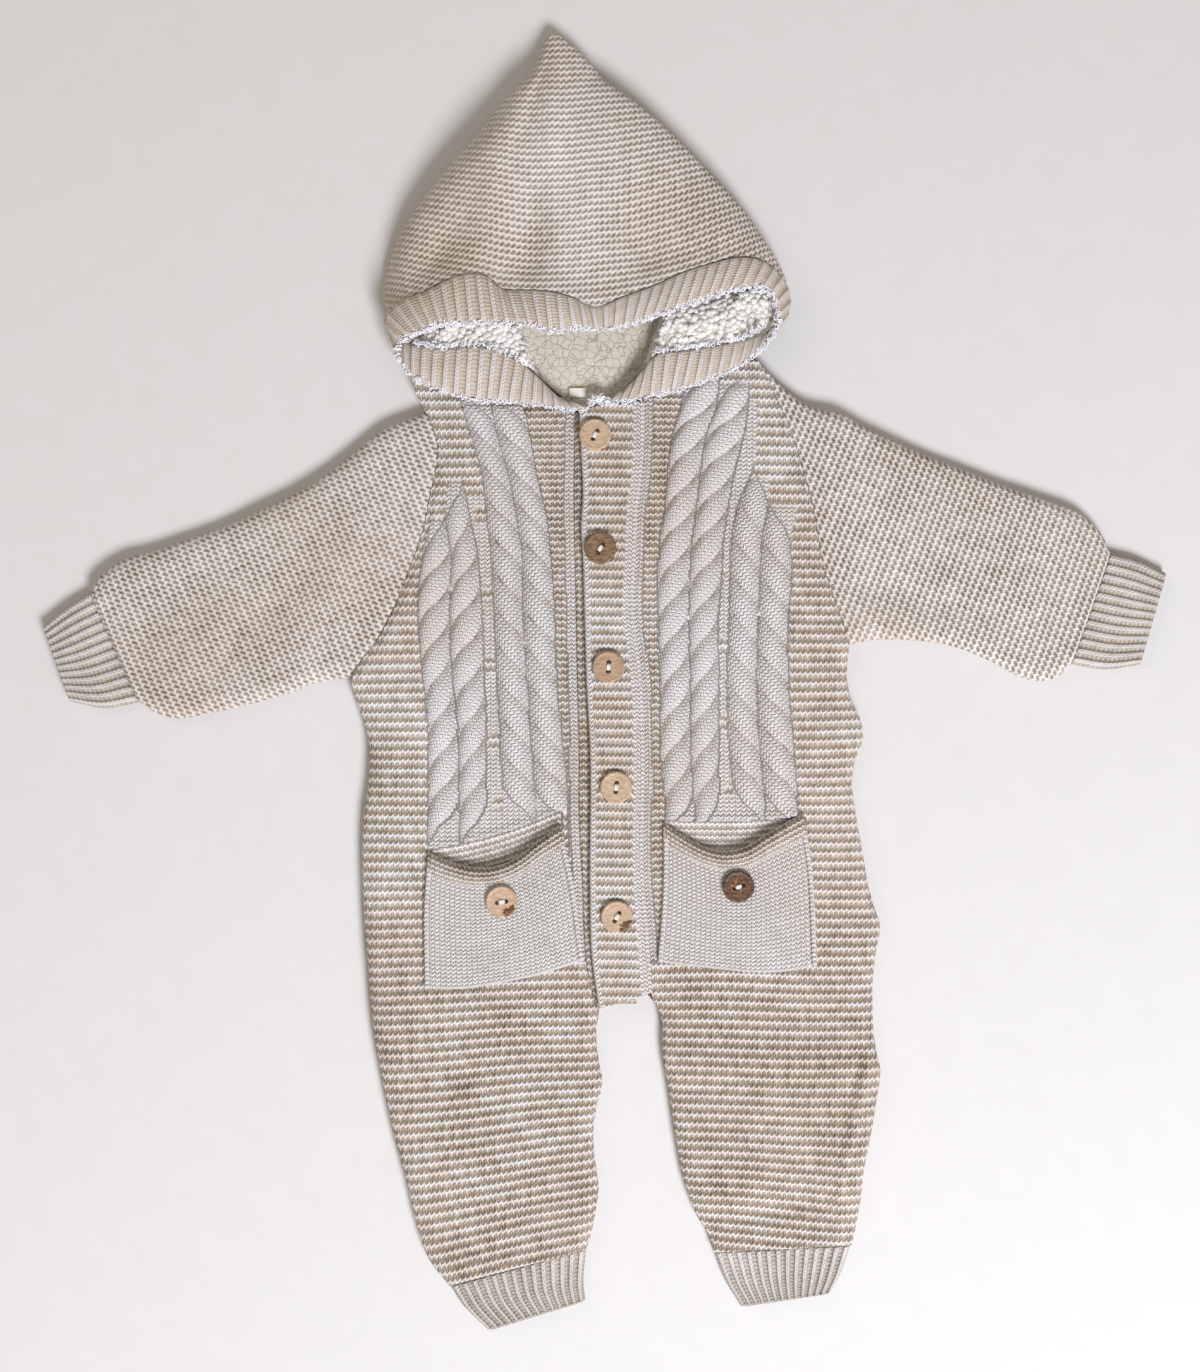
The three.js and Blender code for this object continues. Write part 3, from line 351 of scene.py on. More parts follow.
def follow(tree, value, *steps):
    # a value led through math steps of (operation, numbers or sockets)
    for operation, *rest in steps:
        value = fromNode(tree, "ShaderNodeMath", (value, *rest), operation=operation)
    return value


def newMaterial(name):
    # an empty material, and the socket that gives each point's place on its piece
    material = bpy.data.materials.new(name)
    material.use_nodes = True
    tree = material.node_tree
    tree.nodes.clear()
    return material, tree, fromNode(tree, "ShaderNodeTexCoord", output="Object")


def finishMaterial(tree, color, bump, **values):
    # the shader's own sockets hold what is the same all over
    shader = addNode(tree, "ShaderNodeBsdfPrincipled", {"Base Color": color})
    for label, value in values.items():
        shader.inputs[label.replace("_", " ")].default_value = value
    if bump:
        height, strength, distance = bump
        lift = addNode(tree, "ShaderNodeBump", {"Strength": strength, "Distance": distance, "Height": height})
        tree.links.new(lift.outputs[0], shader.inputs["Normal"])
    addNode(tree, "ShaderNodeOutputMaterial", {"Surface": shader.outputs[0]})


def rampOf(tree, value, stops):
    # a colour for a value from 0 to 1: stops are [place, hex]
    ramp = addNode(tree, "ShaderNodeValToRGB", (value,))
    elements = ramp.color_ramp.elements
    while len(elements) < len(stops):
        elements.new(0.5)
    for element, (place, code) in zip(elements, stops):
        element.position = place
        element.color = linear(code)
    return ramp.outputs[0]


def stitchHeight(tree, layer, look):
    # height of the yarn from 0 to 1, and a random value for each stitch
    place = fromNode(tree, "ShaderNodeUVMap", uv_map=layer)
    parts = addNode(tree, "ShaderNodeSeparateXYZ", (place,))
    u, v = parts.outputs[0], parts.outputs[1]
    full = 2 * math.pi
    if look["pattern"] == "garter":
        # each ridge is a wavy band of loops, up at a stitch and down between two
        bend = follow(tree, u, ("MULTIPLY", 2 * full), ("SINE",), ("MULTIPLY", 0.3 * look["wave"]))
        wave = follow(tree, u, ("MULTIPLY", full), ("COSINE",), ("MULTIPLY_ADD", look["wave"], bend))
        level = follow(tree, v, ("SUBTRACT", wave))
        row = follow(tree, level, ("ROUND",))
        swell = follow(tree, u, ("MULTIPLY", full), ("SINE",), ("MULTIPLY_ADD", look["swell"], look["yarn"]))
        away = follow(tree, level, ("SUBTRACT", row), ("ABSOLUTE",), ("DIVIDE", swell))
        thread = follow(tree, away, ("MULTIPLY", away), ("MULTIPLY_ADD", -1.0, 1.0), ("MAXIMUM", 0.0),
                        ("POWER", 0.6))
        legs = follow(tree, u, ("MULTIPLY", 2 * full), ("COSINE",),
                      ("MULTIPLY_ADD", 0.5 * look["legs"], look["legs"]))
        height = follow(tree, thread, ("MAXIMUM", legs))
    elif look["pattern"] == "rib":
        # a column of V stitches on each crest, and the backs of stitches between
        crest = follow(tree, u, ("PINGPONG", 0.5), ("MULTIPLY", 2.0))
        column = follow(tree, crest, ("SUBTRACT", look["column"]), ("MULTIPLY", 5.0), ("MAXIMUM", 0.0),
                        ("MINIMUM", 1.0))
        slant = follow(tree, crest, ("MULTIPLY_ADD", -1.5, v))
        stripe = follow(tree, slant, ("MULTIPLY", full), ("COSINE",), ("MULTIPLY_ADD", 0.2, 0.8))
        slit = follow(tree, crest, ("SUBTRACT", 0.86), ("MAXIMUM", 0.0), ("MULTIPLY_ADD", -2.4, 1.0))
        knit = follow(tree, stripe, ("MULTIPLY", slit))
        purl = follow(tree, v, ("MULTIPLY", full), ("COSINE",), ("MULTIPLY_ADD", 0.13, 0.17))
        height = fromNode(tree, "ShaderNodeMix", {0: column, 2: purl, 3: knit})
        row = follow(tree, slant, ("FLOOR",))
    else:
        # columns of V stitches: a leg is 0 between two columns and 1 in the middle of one
        leg = follow(tree, u, ("PINGPONG", 0.5), ("MULTIPLY", 2.0))
        slant = follow(tree, leg, ("MULTIPLY_ADD", 0.62, v))
        stripe = follow(tree, slant, ("MULTIPLY", full), ("COSINE",), ("MULTIPLY_ADD", 0.42, 0.62))
        side = follow(tree, leg, ("MULTIPLY_ADD", 2.0, 0.5), ("MINIMUM", 1.0))
        middle = follow(tree, leg, ("SUBTRACT", 0.78), ("MAXIMUM", 0.0), ("MULTIPLY_ADD", -1.3, 1.0))
        height = follow(tree, stripe, ("MULTIPLY", side), ("MULTIPLY", middle))
        row = follow(tree, slant, ("FLOOR",))
    cell = fromNode(tree, "ShaderNodeCombineXYZ", (follow(tree, u, ("FLOOR",)), row))
    return height, fromNode(tree, "ShaderNodeTexWhiteNoise", {"Vector": cell}, noise_dimensions="2D")


def knitMaterial(name, look):
    # combed cotton and acrylic yarn, two shades plied: matt and softly furred; the crests get a painted
    # highlight and the hollows painted shade
    material, tree, where = newMaterial(name)
    height, chance = stitchHeight(tree, "knit", look)
    if look.get("cabled"):
        plain, plainChance = stitchHeight(tree, "strand", {"pattern": "plain"})
        share = addNode(tree, "ShaderNodeAttribute", attribute_name="cable").outputs["Fac"]
        plain = follow(tree, plain, ("MULTIPLY_ADD", 1.05, 0.41))
        height = fromNode(tree, "ShaderNodeMix", {0: share, 2: height, 3: plain})
        chance = fromNode(tree, "ShaderNodeMix", {0: share, 2: chance, 3: plainChance})
    groove = addNode(tree, "ShaderNodeAttribute", attribute_name="groove").outputs["Fac"]
    fibre, patch = noise(tree, where, 1.3, 3.0), noise(tree, where, 46, 2.0)
    # painted shade and highlight: low stitch height paints the hollows darker, high height paints the crests
    # lighter
    tone = follow(tree, height, ("MULTIPLY_ADD", look["depth"], look["base"]))
    # painted shade where a point's groove value is positive, painted highlight where it is negative
    tone = follow(tree, groove, ("MULTIPLY_ADD", -0.26, tone))
    for value, weight in ((fibre, 0.34), (chance, look["speckle"]), (patch, look["patches"])):
        tone = follow(tree, value, ("SUBTRACT", 0.5), ("MULTIPLY_ADD", weight, tone))
    color = rampOf(tree, tone, look["stops"])
    tan = follow(tree, noise(tree, where, 95, 1.0), ("SUBTRACT", 0.42), ("MULTIPLY", 5.0 * look["tan"]),
                 ("MAXIMUM", 0.0), ("MINIMUM", look["tan"]))
    color = fromNode(tree, "ShaderNodeMix", {0: tan, 6: color, 7: linear("#d9bf9a")}, 2, data_type="RGBA",
                     blend_type="MULTIPLY")
    lift = follow(tree, fibre, ("MULTIPLY_ADD", 0.3, height))
    finishMaterial(tree, color, (lift, 1.0, look["bump"] * mm), Roughness=0.92, Sheen_Weight=0.2,
                   Sheen_Roughness=0.6, Specular_IOR_Level=0.2)
    return material


# one yarn on every piece: each piece's stops hold the tones it shows under the light, so the sleeve stops,
# paler in the hollows, are painted light and the warmer hood stops painted shade
oatmeal = [(0.0, "#645543"), (0.24, "#a89782"), (0.5, "#ccc3b8"), (0.78, "#e2deda"), (1.0, "#f3f1f0")]
paleOatPaintedLight = [(0.0, "#786855"), (0.25, "#b7a997"), (0.52, "#d5cdc3"), (0.8, "#e4e0dc"), (1.0, "#efedea")]
warmOatPaintedShade = [(0.0, "#968572"), (0.25, "#c9bcac"), (0.55, "#ddd5cb"), (0.8, "#e6e1da"), (1.0, "#efebe6")]
ribOat = [(0.0, "#a99a87"), (0.3, "#c8bbab"), (0.6, "#d7cfc6"), (0.85, "#e4e0dc"), (1.0, "#edeae9")]
cuffOat = [(0.0, "#8f8474"), (0.3, "#bdb5a9"), (0.6, "#d4d0ca"), (0.85, "#e6e4e2"), (1.0, "#f2f1f1")]
looks = {
    # wave, yarn and swell are shares of a ridge, and legs is the height of what shows between ridges;
    # column is the share of a rib between its columns; depth and base turn height into tone, which paints
    # shade in the hollows and a highlight on the crests, and which speckle changes by stitch and patches
    # by place; tan is how deep the yarn's warmer places are
    "body": {
        "pattern": "garter", "cabled": True, "wave": 0.14, "yarn": 0.31, "swell": 0.08, "legs": 0.28,
        "stops": oatmeal, "depth": 0.66, "base": 0.12, "speckle": 0.2, "patches": 0.4, "tan": 0.2,
        "bump": 1.0,
    },
    "sleeve": {
        "pattern": "garter", "wave": 0.16, "yarn": 0.44, "swell": 0.13, "legs": 0.1, "stops": paleOatPaintedLight,
        "depth": 0.62, "base": 0.1, "speckle": 0.24, "patches": 0.45, "tan": 0.25, "bump": 0.9,
    },
    "hood": {
        "pattern": "garter", "wave": 0.17, "yarn": 0.45, "swell": 0.12, "legs": 0.12, "stops": warmOatPaintedShade,
        "depth": 0.62, "base": 0.1, "speckle": 0.24, "patches": 0.4, "tan": 0.25, "bump": 0.9,
    },
    "rib": {
        "pattern": "rib", "column": 0.46, "stops": ribOat, "depth": 0.7, "base": 0.13, "speckle": 0.14,
        "patches": 0.4, "tan": 0.2, "bump": 0.9,
    },
    "cuff": {
        "pattern": "rib", "column": 0.44, "stops": cuffOat, "depth": 0.75, "base": 0.1, "speckle": 0.14,
        "patches": 0.4, "tan": 0.15, "bump": 0.9,
    },
}
bodyKnit = knitMaterial("bodyKnitOatmealYarn", looks["body"])
sleeveKnit = knitMaterial("sleeveKnitOatmealYarn", looks["sleeve"])
hoodKnitMaterial = knitMaterial("hoodKnitOatmealYarnPaintedShade", looks["hood"])
ribKnit = knitMaterial("ribKnitOatmealYarn", looks["rib"])
cuffKnit = knitMaterial("cuffRibOatmealYarn", looks["cuff"])


def pileMaterial():
    # sherpa, a knitted polyester pile brushed into curls: white clumps, painted darker all over as the shade
    # under the hood, with painted shade in the thin partings
    material, tree, where = newMaterial("curledPileWithPaintedShade")
    bend = noise(tree, where, 4, 2.0, "Color")
    warped = fromNode(tree, "ShaderNodeMix", {0: 0.0038, 4: where, 5: bend}, 1, data_type="VECTOR")
    clump = fromNode(tree, "ShaderNodeTexVoronoi", {"Vector": warped, "Scale": 1 / (4.4 * mm)},
                     feature="DISTANCE_TO_EDGE")
    curl = noise(tree, where, 1.6, 4.0)
    # painted shade in the thin partings between clumps
    soft = follow(tree, clump, ("MULTIPLY", 15.0), ("MINIMUM", 1.0), ("POWER", 0.7))
    height = follow(tree, curl, ("MULTIPLY_ADD", 0.35, soft))
    # painted shade: the whole pile is darkened, as it lies in the hood's shade
    tone = follow(tree, height, ("MULTIPLY", 0.76))
    color = rampOf(tree, tone, [(0.0, "#a89d86"), (0.35, "#c4bba7"), (0.62, "#d0c9b7"), (1.0, "#e0dacb")])
    finishMaterial(tree, color, (height, 0.5, 0.9 * mm), Roughness=1.0, Sheen_Weight=0.3, Sheen_Roughness=0.6,
                   Specular_IOR_Level=0.05)
    return material


def fluffMaterial(name, stops):
    # loose fibre ends of the same yarn or pile: nearly white, with a soft halo
    material, tree, where = newMaterial(name)
    curl = noise(tree, where, 1.1, 3.0)
    color = rampOf(tree, curl, stops)
    finishMaterial(tree, color, (curl, 0.4, 0.4 * mm), Roughness=1.0, Sheen_Weight=0.4, Sheen_Roughness=0.6,
                   Specular_IOR_Level=0.05)
    return material


def woodMaterial(name, stops, bark, seed):
    # coconut shell cut across and sanded: satin, with short dark pores and, on some, a patch of bark
    material, tree, where = newMaterial(name)
    shift, stretch = (seed * 0.13, seed * 0.29, 0.0), (1.0, 2.6, 1.0)
    slid = fromNode(tree, "ShaderNodeMapping", {0: where, 1: shift, 3: stretch})
    grain = noise(tree, slid, 3.2, 5.0, distortion=0.6)
    pores = fromNode(tree, "ShaderNodeTexVoronoi", {"Vector": slid, "Scale": 1 / (1.1 * mm)})
    pit = follow(tree, pores, ("MULTIPLY", 2.6), ("MINIMUM", 1.0), ("MULTIPLY_ADD", 0.25, 0.75))
    tone = follow(tree, grain, ("MULTIPLY", pit))
    color = rampOf(tree, tone, stops)
    if bark:
        middleX, middleY, size = bark
        middle = (-middleX * mm - shiftX, -middleY * mm - shiftY, 0.0)
        moved = fromNode(tree, "ShaderNodeMapping", {0: where, 1: middle})
        flat = fromNode(tree, "ShaderNodeVectorMath", {0: moved, 1: (1.0, 1.0, 0.0)}, operation="MULTIPLY")
        reach = fromNode(tree, "ShaderNodeVectorMath", {0: flat}, "Value", operation="LENGTH")
        rough = noise(tree, where, 1.7, 4.0)
        edge = follow(tree, rough, ("MULTIPLY_ADD", 5.5 * mm, reach), ("SUBTRACT", (size + 2.7) * mm),
                      ("MULTIPLY", -1 / (0.5 * mm)), ("MAXIMUM", 0.0), ("MINIMUM", 1.0))
        darker = rampOf(tree, rough, [(0.3, "#3a2415"), (0.52, "#6e4a2c"), (0.7, "#a98359")])
        color = fromNode(tree, "ShaderNodeMix", {0: edge, 6: color, 7: darker}, 2, data_type="RGBA")
    finishMaterial(tree, color, (tone, 0.25, 0.3 * mm), Roughness=0.48, Specular_IOR_Level=0.4)
    return material


def threadMaterial():
    # mercerised cotton thread: white, tightly twisted, faintly glossy
    material, tree, where = newMaterial("cottonThreadWhite")
    ply = fromNode(tree, "ShaderNodeTexWave", {"Vector": where, "Scale": 1 / (3 * mm), "Distortion": 1.5}, 1)
    color = rampOf(tree, ply, [(0.0, "#d8d5cd"), (1.0, "#fbfaf6")])
    finishMaterial(tree, color, (ply, 0.4, 0.2 * mm), Roughness=0.6)
    return material


def tapeMaterial():
    # woven polyester label tape: flat, ivory, with a fine plain weave
    material, tree, where = newMaterial("wovenTapeIvory")
    weave = fromNode(tree, "ShaderNodeTexBrick", {"Vector": where, "Scale": 1 / (1.4 * mm)}, 1)
    color = rampOf(tree, weave, [(0.0, "#f2f0ea"), (1.0, "#d9d6cc")])
    finishMaterial(tree, color, (weave, 0.3, 0.1 * mm), Roughness=0.7)
    return material


print("materials ready")


# Body: the lines that its panels are knitted to

bodyLines = {
    # [y, x] of the raglan seam, the side and the outside of the leg
    "leftSide": [
        [172, -107], [163, -106], [154, -101], [140, -95], [126, -94], [106, -98], [86, -102], [66, -109],
        [50, -115], [26, -127], [2, -142], [-10, -140], [-21, -136], [-34, -133], [-56, -133], [-78, -136],
        [-122, -136], [-165, -133], [-198, -130], [-226, -125], [-254, -119], [-284, -111], [-309, -105],
        [-327, -98], [-341, -87],
    ],
    "rightSide": [
        [183, 86], [168, 94], [152, 101], [137, 107], [120, 112], [103, 117], [86, 120], [68, 123],
        [41, 132], [21, 138], [8, 137], [-8, 139], [-21, 145], [-33, 146], [-43, 142], [-56, 140],
        [-72, 142], [-95, 146], [-122, 151], [-138, 156], [-150, 154], [-167, 152], [-190, 152],
        [-205, 153], [-217, 156], [-236, 154], [-254, 151], [-275, 147], [-292, 145], [-318, 140],
    ],
    # [y, x] of the edge beside the button band, then of the inside of the leg
    "leftEdge": [
        [162, -16], [105, -17], [52, -16], [2, -15], [-37, -14], [-76, -14], [-115, -12], [-145, -11],
        [-164, -9], [-176, -6], [-184, -3], [-198, -5], [-213, -3], [-226, -1], [-242, -5], [-256, -6],
        [-271, -5], [-284, -3], [-294, -4], [-310, -7], [-320, -10],
    ],
    "rightEdge": [
        [171, 22], [121, 21], [96, 18], [71, 17], [38, 16], [16, 19], [-4, 21], [-37, 22], [-115, 22],
        [-139, 24], [-167, 26], [-177, 27], [-188, 32], [-209, 33], [-233, 37], [-260, 41], [-284, 46],
        [-302, 53], [-313, 60], [-322, 62],
    ],
}
line = {name: byHeight(rows) for name, rows in bodyLines.items()}

cable = {"twist": 20.5, "reach": 1.2, "rise": 4.2, "columns": 5, "band": 17.5}
fronts = {
    "frontLeft": {
        "side": "leftSide", "edge": "leftEdge", "flip": 1,
        "sideTop": 171, "edgeTop": 160, "sideEnd": -340.5, "edgeEnd": -319.5,
        "underarm": 2, "fork": -172, "lip": 10.6, "lipRadius": 3,
        "shade": [-50, 157, 19, 5.5, -8, 1.0],  # what the turned band keeps in shadow
        # [y, x of the six lines that bound four cables, two and two]
        "lines": [
            [162, -98, -94, -90, -82, -65, -47], [136, -90, -86, -81, -74, -59, -41],
            [118, -91, -87, -80, -69, -54, -38], [92, -97, -89, -75, -66, -49, -32],
            [72, -102, -86, -71, -63.5, -46, -30], [47, -104.6, -86.6, -69, -62.4, -45.8, -28],
            [13, -103, -86, -67.5, -60.8, -44, -27], [-29, -99, -82, -66, -58.5, -41, -23.6],
            [-68, -99, -81.5, -66, -57.4, -38.8, -20], [-100, -99, -81.5, -66, -57.4, -38.8, -20],
        ],
        # [top, phase of the twist, lean of the strands: 1 climbs to the right] of each cable
        "ropes": [[84, 11.2, 1], [106, 9.2, 1], [150, 4.8, -1], [150, 2.8, -1]],
        "end": (-58.0, 0.3),  # y where the twists end, at x 0 and its slope
        "knots": [[-69.3, 94.7], [-65, 50.6], [-65, 10.7], [-61.3, -32.6], [-57.9, -66.9]],
        "mouth": [[-97, -93.6], [-82, -91], [-60, -85.6], [-42, -79.4], [-24, -72]],
        "mouthLow": [[-99, -95], [-87, -103], [-73, -108], [-60, -107], [-48, -101], [-37, -91], [-24, -80]],
        "tilt": [[160, 0.02], [0, 0.02], [-150, 0.04], [-230, 0.07], [-330, 0.24]],
        # [middle x, y, half length, half width, lean, height] of its soft creases
        "creases": [
            [-95, -225, 34, 9, 12, -1.4], [-55, -262, 40, 10, 8, 1], [-50, -300, 34, 8, -14, -1.5],
            [-118, -40, 22, 9, 80, 1],
        ],
    },
    "frontRight": {
        "side": "rightSide", "edge": "rightEdge", "flip": -1,
        "sideTop": 182, "edgeTop": 170, "sideEnd": -317.4, "edgeEnd": -321.4,
        "underarm": 21, "fork": -174, "lip": 11.4, "lipRadius": 2,
        "shade": [60, 172, 12, 4, 20, 0.3],
        "lines": [
            [172, 46, 65, 82, 84, 86, 88], [155, 43, 63, 81, 86, 90, 94], [141, 39, 58, 79, 86, 92, 99],
            [121, 36, 54.5, 74, 84, 93, 103], [99, 34.3, 52, 70, 75, 92, 108],
            [82, 31.5, 49.8, 67.5, 72, 89, 105], [60, 30.4, 48.4, 66.4, 71, 88, 105.8],
            [38, 30.4, 48, 64.5, 70.5, 87, 104], [2, 31.5, 48.7, 64.7, 69.2, 86, 104],
            [-42, 32, 49, 64.7, 71, 88.3, 107.4], [-69, 34.3, 50.6, 64.7, 73.7, 90.6, 109],
            [-100, 34.3, 50.6, 64.7, 73.7, 90.6, 109],
        ],
        "ropes": [[166, 14.5, 1], [160, 12.5, 1], [107, 2.8, -1], [92, 0.8, -1]],
        "end": (-71.0, 0.0),
        "knots": [[64, 106], [64.6, 63], [65.8, 21.4], [68.6, -23], [71.4, -60.8]],
        "mouth": [[33, -77.4], [52, -77.8], [72, -78], [92, -77], [113, -74.6]],
        "mouthLow": [
            [33, -78], [45, -89], [56, -96], [68, -99], [80, -96], [91, -88], [103, -80], [112, -73],
        ],
        "tilt": [[180, 0.0], [-150, -0.01], [-250, -0.03], [-318, -0.06]],
        "creases": [
            [95, -215, 40, 10, -6, 1], [118, -270, 46, 7, 76, -1.6], [85, -296, 34, 8, 12, -1.5],
            [126, -5, 26, 8, 60, -1.2], [145, -232, 32, 3.4, 77, 2.0], [138.5, -230, 32, 3.6, 77, -1.3],
            [133, -288, 24, 3.2, 84, 1.8], [104, -296, 22, 5, 10, -1.6],
        ],
    },
}
frontGrid = {
    "rows": 504, "columns": 108, "coarse": 12, "wall": 3.4, "ridge": 1.1, "strip": 3.8, "mouthRidge": 3.5,
    "stripEnd": -156, "seam": 5.5, "seamChain": 2.8,
}


def byPlace(rows):
    # rows of [x, value] from left to right
    rows = np.array(rows, float)
    read = smoothRows(rows[:, 0], rows[:, 1:])
    return lambda x: read(x)[..., 0]


def ropesOf(front, x, y):
    # the relief of the cables, how far a point is on one, the stitch coordinates of their strands, and the
    # painted shade and highlight on them
    relief, mask, groove = np.zeros_like(x), np.zeros_like(x), np.zeros_like(x)
    strand = joined(x / 3.2, y / stitch["row"])
    bounds = byHeight(front["lines"])(y)
    start, slope = front["end"]
    end = start + slope * x
    mouth = byPlace(front["mouth"])(x)
    for rope, (top, phase, lean) in enumerate(front["ropes"]):
        near = bounds[..., rope // 2 * 3 + rope % 2]
        far = bounds[..., rope // 2 * 3 + rope % 2 + 1]
        wide = np.maximum(far - near, 1.0)
        across = (x - near) / wide
        inside = (across >= 0) & (across < 1)
        swing = across + 0.07 * np.sin(2 * np.pi * across)
        along = (y - phase) / cable["twist"] - lean * cable["reach"] * swing
        rounded = np.sin(np.pi * np.clip(across, 0, 1)) ** 0.6
        fromCrest = (along - np.floor(along) - 0.5) / (0.3 + 0.22 * rounded)
        puff = np.sqrt(np.maximum(1 - fromCrest ** 2, 0))
        middle = start + slope * (near + far) / 2
        highest = np.round((top - phase) / cable["twist"] - lean * cable["reach"] * 0.5)
        lowest = np.round((middle - phase) / cable["twist"] - lean * cable["reach"] * 0.5)
        twisted = (along < highest) & (along > lowest)
        fade = ease((highest - along) / 0.16) * ease((along - lowest) / 0.16)
        size = np.clip(wide / cable["band"], 0.3, 1)
        shoulder = mix(0.5, 1.0, ease(np.minimum(across, 1 - across) * 9))
        full = (0.45 + 0.55 * rounded) * (0.1 + 0.9 * puff) * shoulder
        height = cable["rise"] * size * full
        flat = 0.42 * cable["rise"] * rounded ** 0.5
        # painted shade in the hollows between crossings and at the cable edges, painted highlight (negative)
        # on the plump crests
        groove = np.where(inside, size * fade * np.clip(0.6 - 1.45 * full, -0.85, 0.6), groove)
        relief = np.where(inside, mix(flat, height, fade), relief)
        on = ease((top - y + 12) / 8) * (y > mouth)
        mask = np.where(inside, on, mask)
        turnedU = along * cable["columns"]
        turnedV = ((y - phase) * 0.74 + lean * across * wide * 0.68) / stitch["row"]
        strand = np.where((inside & twisted)[..., None], joined(turnedU, turnedV), strand)
    between = (x > bounds[..., 2]) & (x < bounds[..., 3]) & (y > mouth) & (y < front["ropes"][1][0])
    knot = sum(np.exp(-((x - kx) / 4.2) ** 2 - ((y - ky) / 4.6) ** 2) for kx, ky in front["knots"])
    mask = np.where(between, 1 - ease(knot * 1.6), mask)
    relief = np.where(between, 0.5 - 0.5 * knot, relief)
    inner = (x > bounds[..., 0]) & (x < bounds[..., 5]) & (y > mouth) & (y <= end + 4)
    mask = np.where(inner, 1.0, mask)
    return relief, mask, strand, groove


def frontCloth(name, front):
    u, v = evenGrid(frontGrid["rows"], frontGrid["columns"])
    if front["flip"] < 0:
        u = 1 - u
    sideY = mix(front["sideTop"], front["sideEnd"], v)
    lean = (front["edgeTop"] - front["sideTop"]) * (1 - ease(v / 0.12))
    lean = lean + (front["edgeEnd"] - front["sideEnd"]) * ease((v - 0.72) / 0.28)
    edgeY = sideY + lean
    start, end = line[front["side"]](sideY)[..., 0], line[front["edge"]](edgeY)[..., 0]
    x, y = mix(start, end, u), mix(sideY, edgeY, u)
    width = np.abs(end - start)
    toSide, toEdge = u * width, (1 - u) * width
    sideSeam, edgeSeam = ease((y - front["underarm"] + 14) / 16), ease((y - front["fork"] + 10) / 12)
    sideTurn = mix(turned(toSide, heights["foldRadius"]), ease(toSide / heights["seamRadius"]), sideSeam)
    edgeTurn = mix(turned(toEdge, heights["foldRadius"]), ease(toEdge / front["lipRadius"]), edgeSeam)
    soft = sideTurn * edgeTurn
    top = heights["frontTop"] + (creaseAt(front["creases"], x, y) + 1.0 * wobble(x, y, 19, 1)) * soft
    sideZ = mix(mix(heights["foldLip"], heights["seamHeight"], sideSeam), top, sideTurn)
    edgeZ = mix(mix(heights["foldLip"], front["lip"], edgeSeam), top, edgeTurn)
    z = np.minimum(sideZ, edgeZ)
    relief, mask, strand, groove = ropesOf(front, x, y)
    tilt = byHeight(front["tilt"])(y)[..., 0]
    middle = (start + end) / 2
    wave = 0.9 * wobble(x, y, 16, 4)
    knitU = x / stitch["wide"]
    knitV = (y - tilt * (x - middle) + wave) / stitch["ridge"]
    bounds = byHeight(front["lines"])(y)
    inner = bounds[..., 5] if front["flip"] > 0 else bounds[..., 0]
    strip = ((x - inner) * front["flip"] > 0) & (y > frontGrid["stripEnd"])
    knitV = np.where(strip, (y + 0.6 * wave) / frontGrid["strip"], knitV)
    seamChain = strip & (toEdge < frontGrid["seam"])
    mask = np.where(seamChain, 1.0, mask)
    chained = joined(toEdge / frontGrid["seamChain"], y / stitch["row"])
    strand = np.where(seamChain[..., None], chained, strand)
    # painted shade on the strips beside the button band
    groove = np.where(strip, 0.35, groove)
    # painted shadow where the turned band shades the front
    groove = groove + 0.9 * creaseAt([front["shade"]], x, y)
    mouth, mouthLow = byPlace(front["mouth"])(x), byPlace(front["mouthLow"])(x)
    ends = ease((x - front["mouth"][0][0]) / 5) * ease((front["mouth"][-1][0] - x) / 5)
    within = (y < mouth) & (y > mouthLow - 8) & (ends > 0)
    knitV = np.where(within, (y - mouth) / frontGrid["mouthRidge"] - 0.5, knitV)
    # inside the pocket mouths the colour is painted lighter, as painted light against their shade; elsewhere
    # it grows darker down the legs
    groove = np.where(within, -0.35 * ends, groove + 0.3 * ease((-105 - y) / 50))
    mask = np.where(within, 0.0, mask)
    garter = frontGrid["ridge"] * garterRelief(knitU, knitV) * np.where(strip | within, 0.6, 1.0)
    lift = mix(garter, relief, mask) * mix(0.45, 1.0, soft)
    dip = 1.7 * ease((mouth - y) / 1.2) * ease((y - mouthLow + 12) / 8) * ends
    welt = 1.1 * np.exp(-((y - mouth - 1.8) / 2.0) ** 2) * ends
    z = z + lift - dip + welt
    z[-1] = np.minimum(z[-1], heights["cuffTop"])

    def below(points):
        low = np.maximum(points[..., 2] - frontGrid["wall"], heights["backWall"] + heights["gap"])
        return atHeight(points, np.minimum(low, points[..., 2] - 0.3))
    return slab(name, bodyKnit, joined(x, y, z), joined(knitU, knitV), below, frontGrid["coarse"],
                strand, mask, groove)


pieces = {}
for name, front in fronts.items():
    pieces[name] = frontCloth(name, front)
print("fronts knitted")


# Back: one wall under the fronts, rounded at its rim

backCloth = {
    "step": 2.2, "profile": 8, "inset": 4.2, "ridge": 0.9, "wall": 5.0,
    # [x, y] between the legs, and under the hood from right to left
    "fork": [[0.5, -178.6], [6, -177], [12, -175.2], [18, -174], [24, -176]],
    "neck": [[80, 188.8], [60, 184.8], [0, 182.8], [-60, 182.8], [-100, 185.3]], "neckSteps": 80,
}


def backOutline():
    # the way round it: down the left side, round both legs, up the right side and along the neck
    def walk(name, top, low):
        count = max(int(abs(top - low) / backCloth["step"]), 1)
        y = np.linspace(top, low, count + 1)
        return joined(line[name](y)[..., 0], y)
    neck = curveThrough(backCloth["neck"])(shares(backCloth["neckSteps"]))
    return np.concatenate([
        walk("leftSide", 172, -340.5), walk("leftEdge", -319.5, -182), backCloth["fork"],
        walk("rightEdge", -180, -321), walk("rightSide", -317.4, 183), [[88, 191]], neck, [[-106, 186]],
    ])


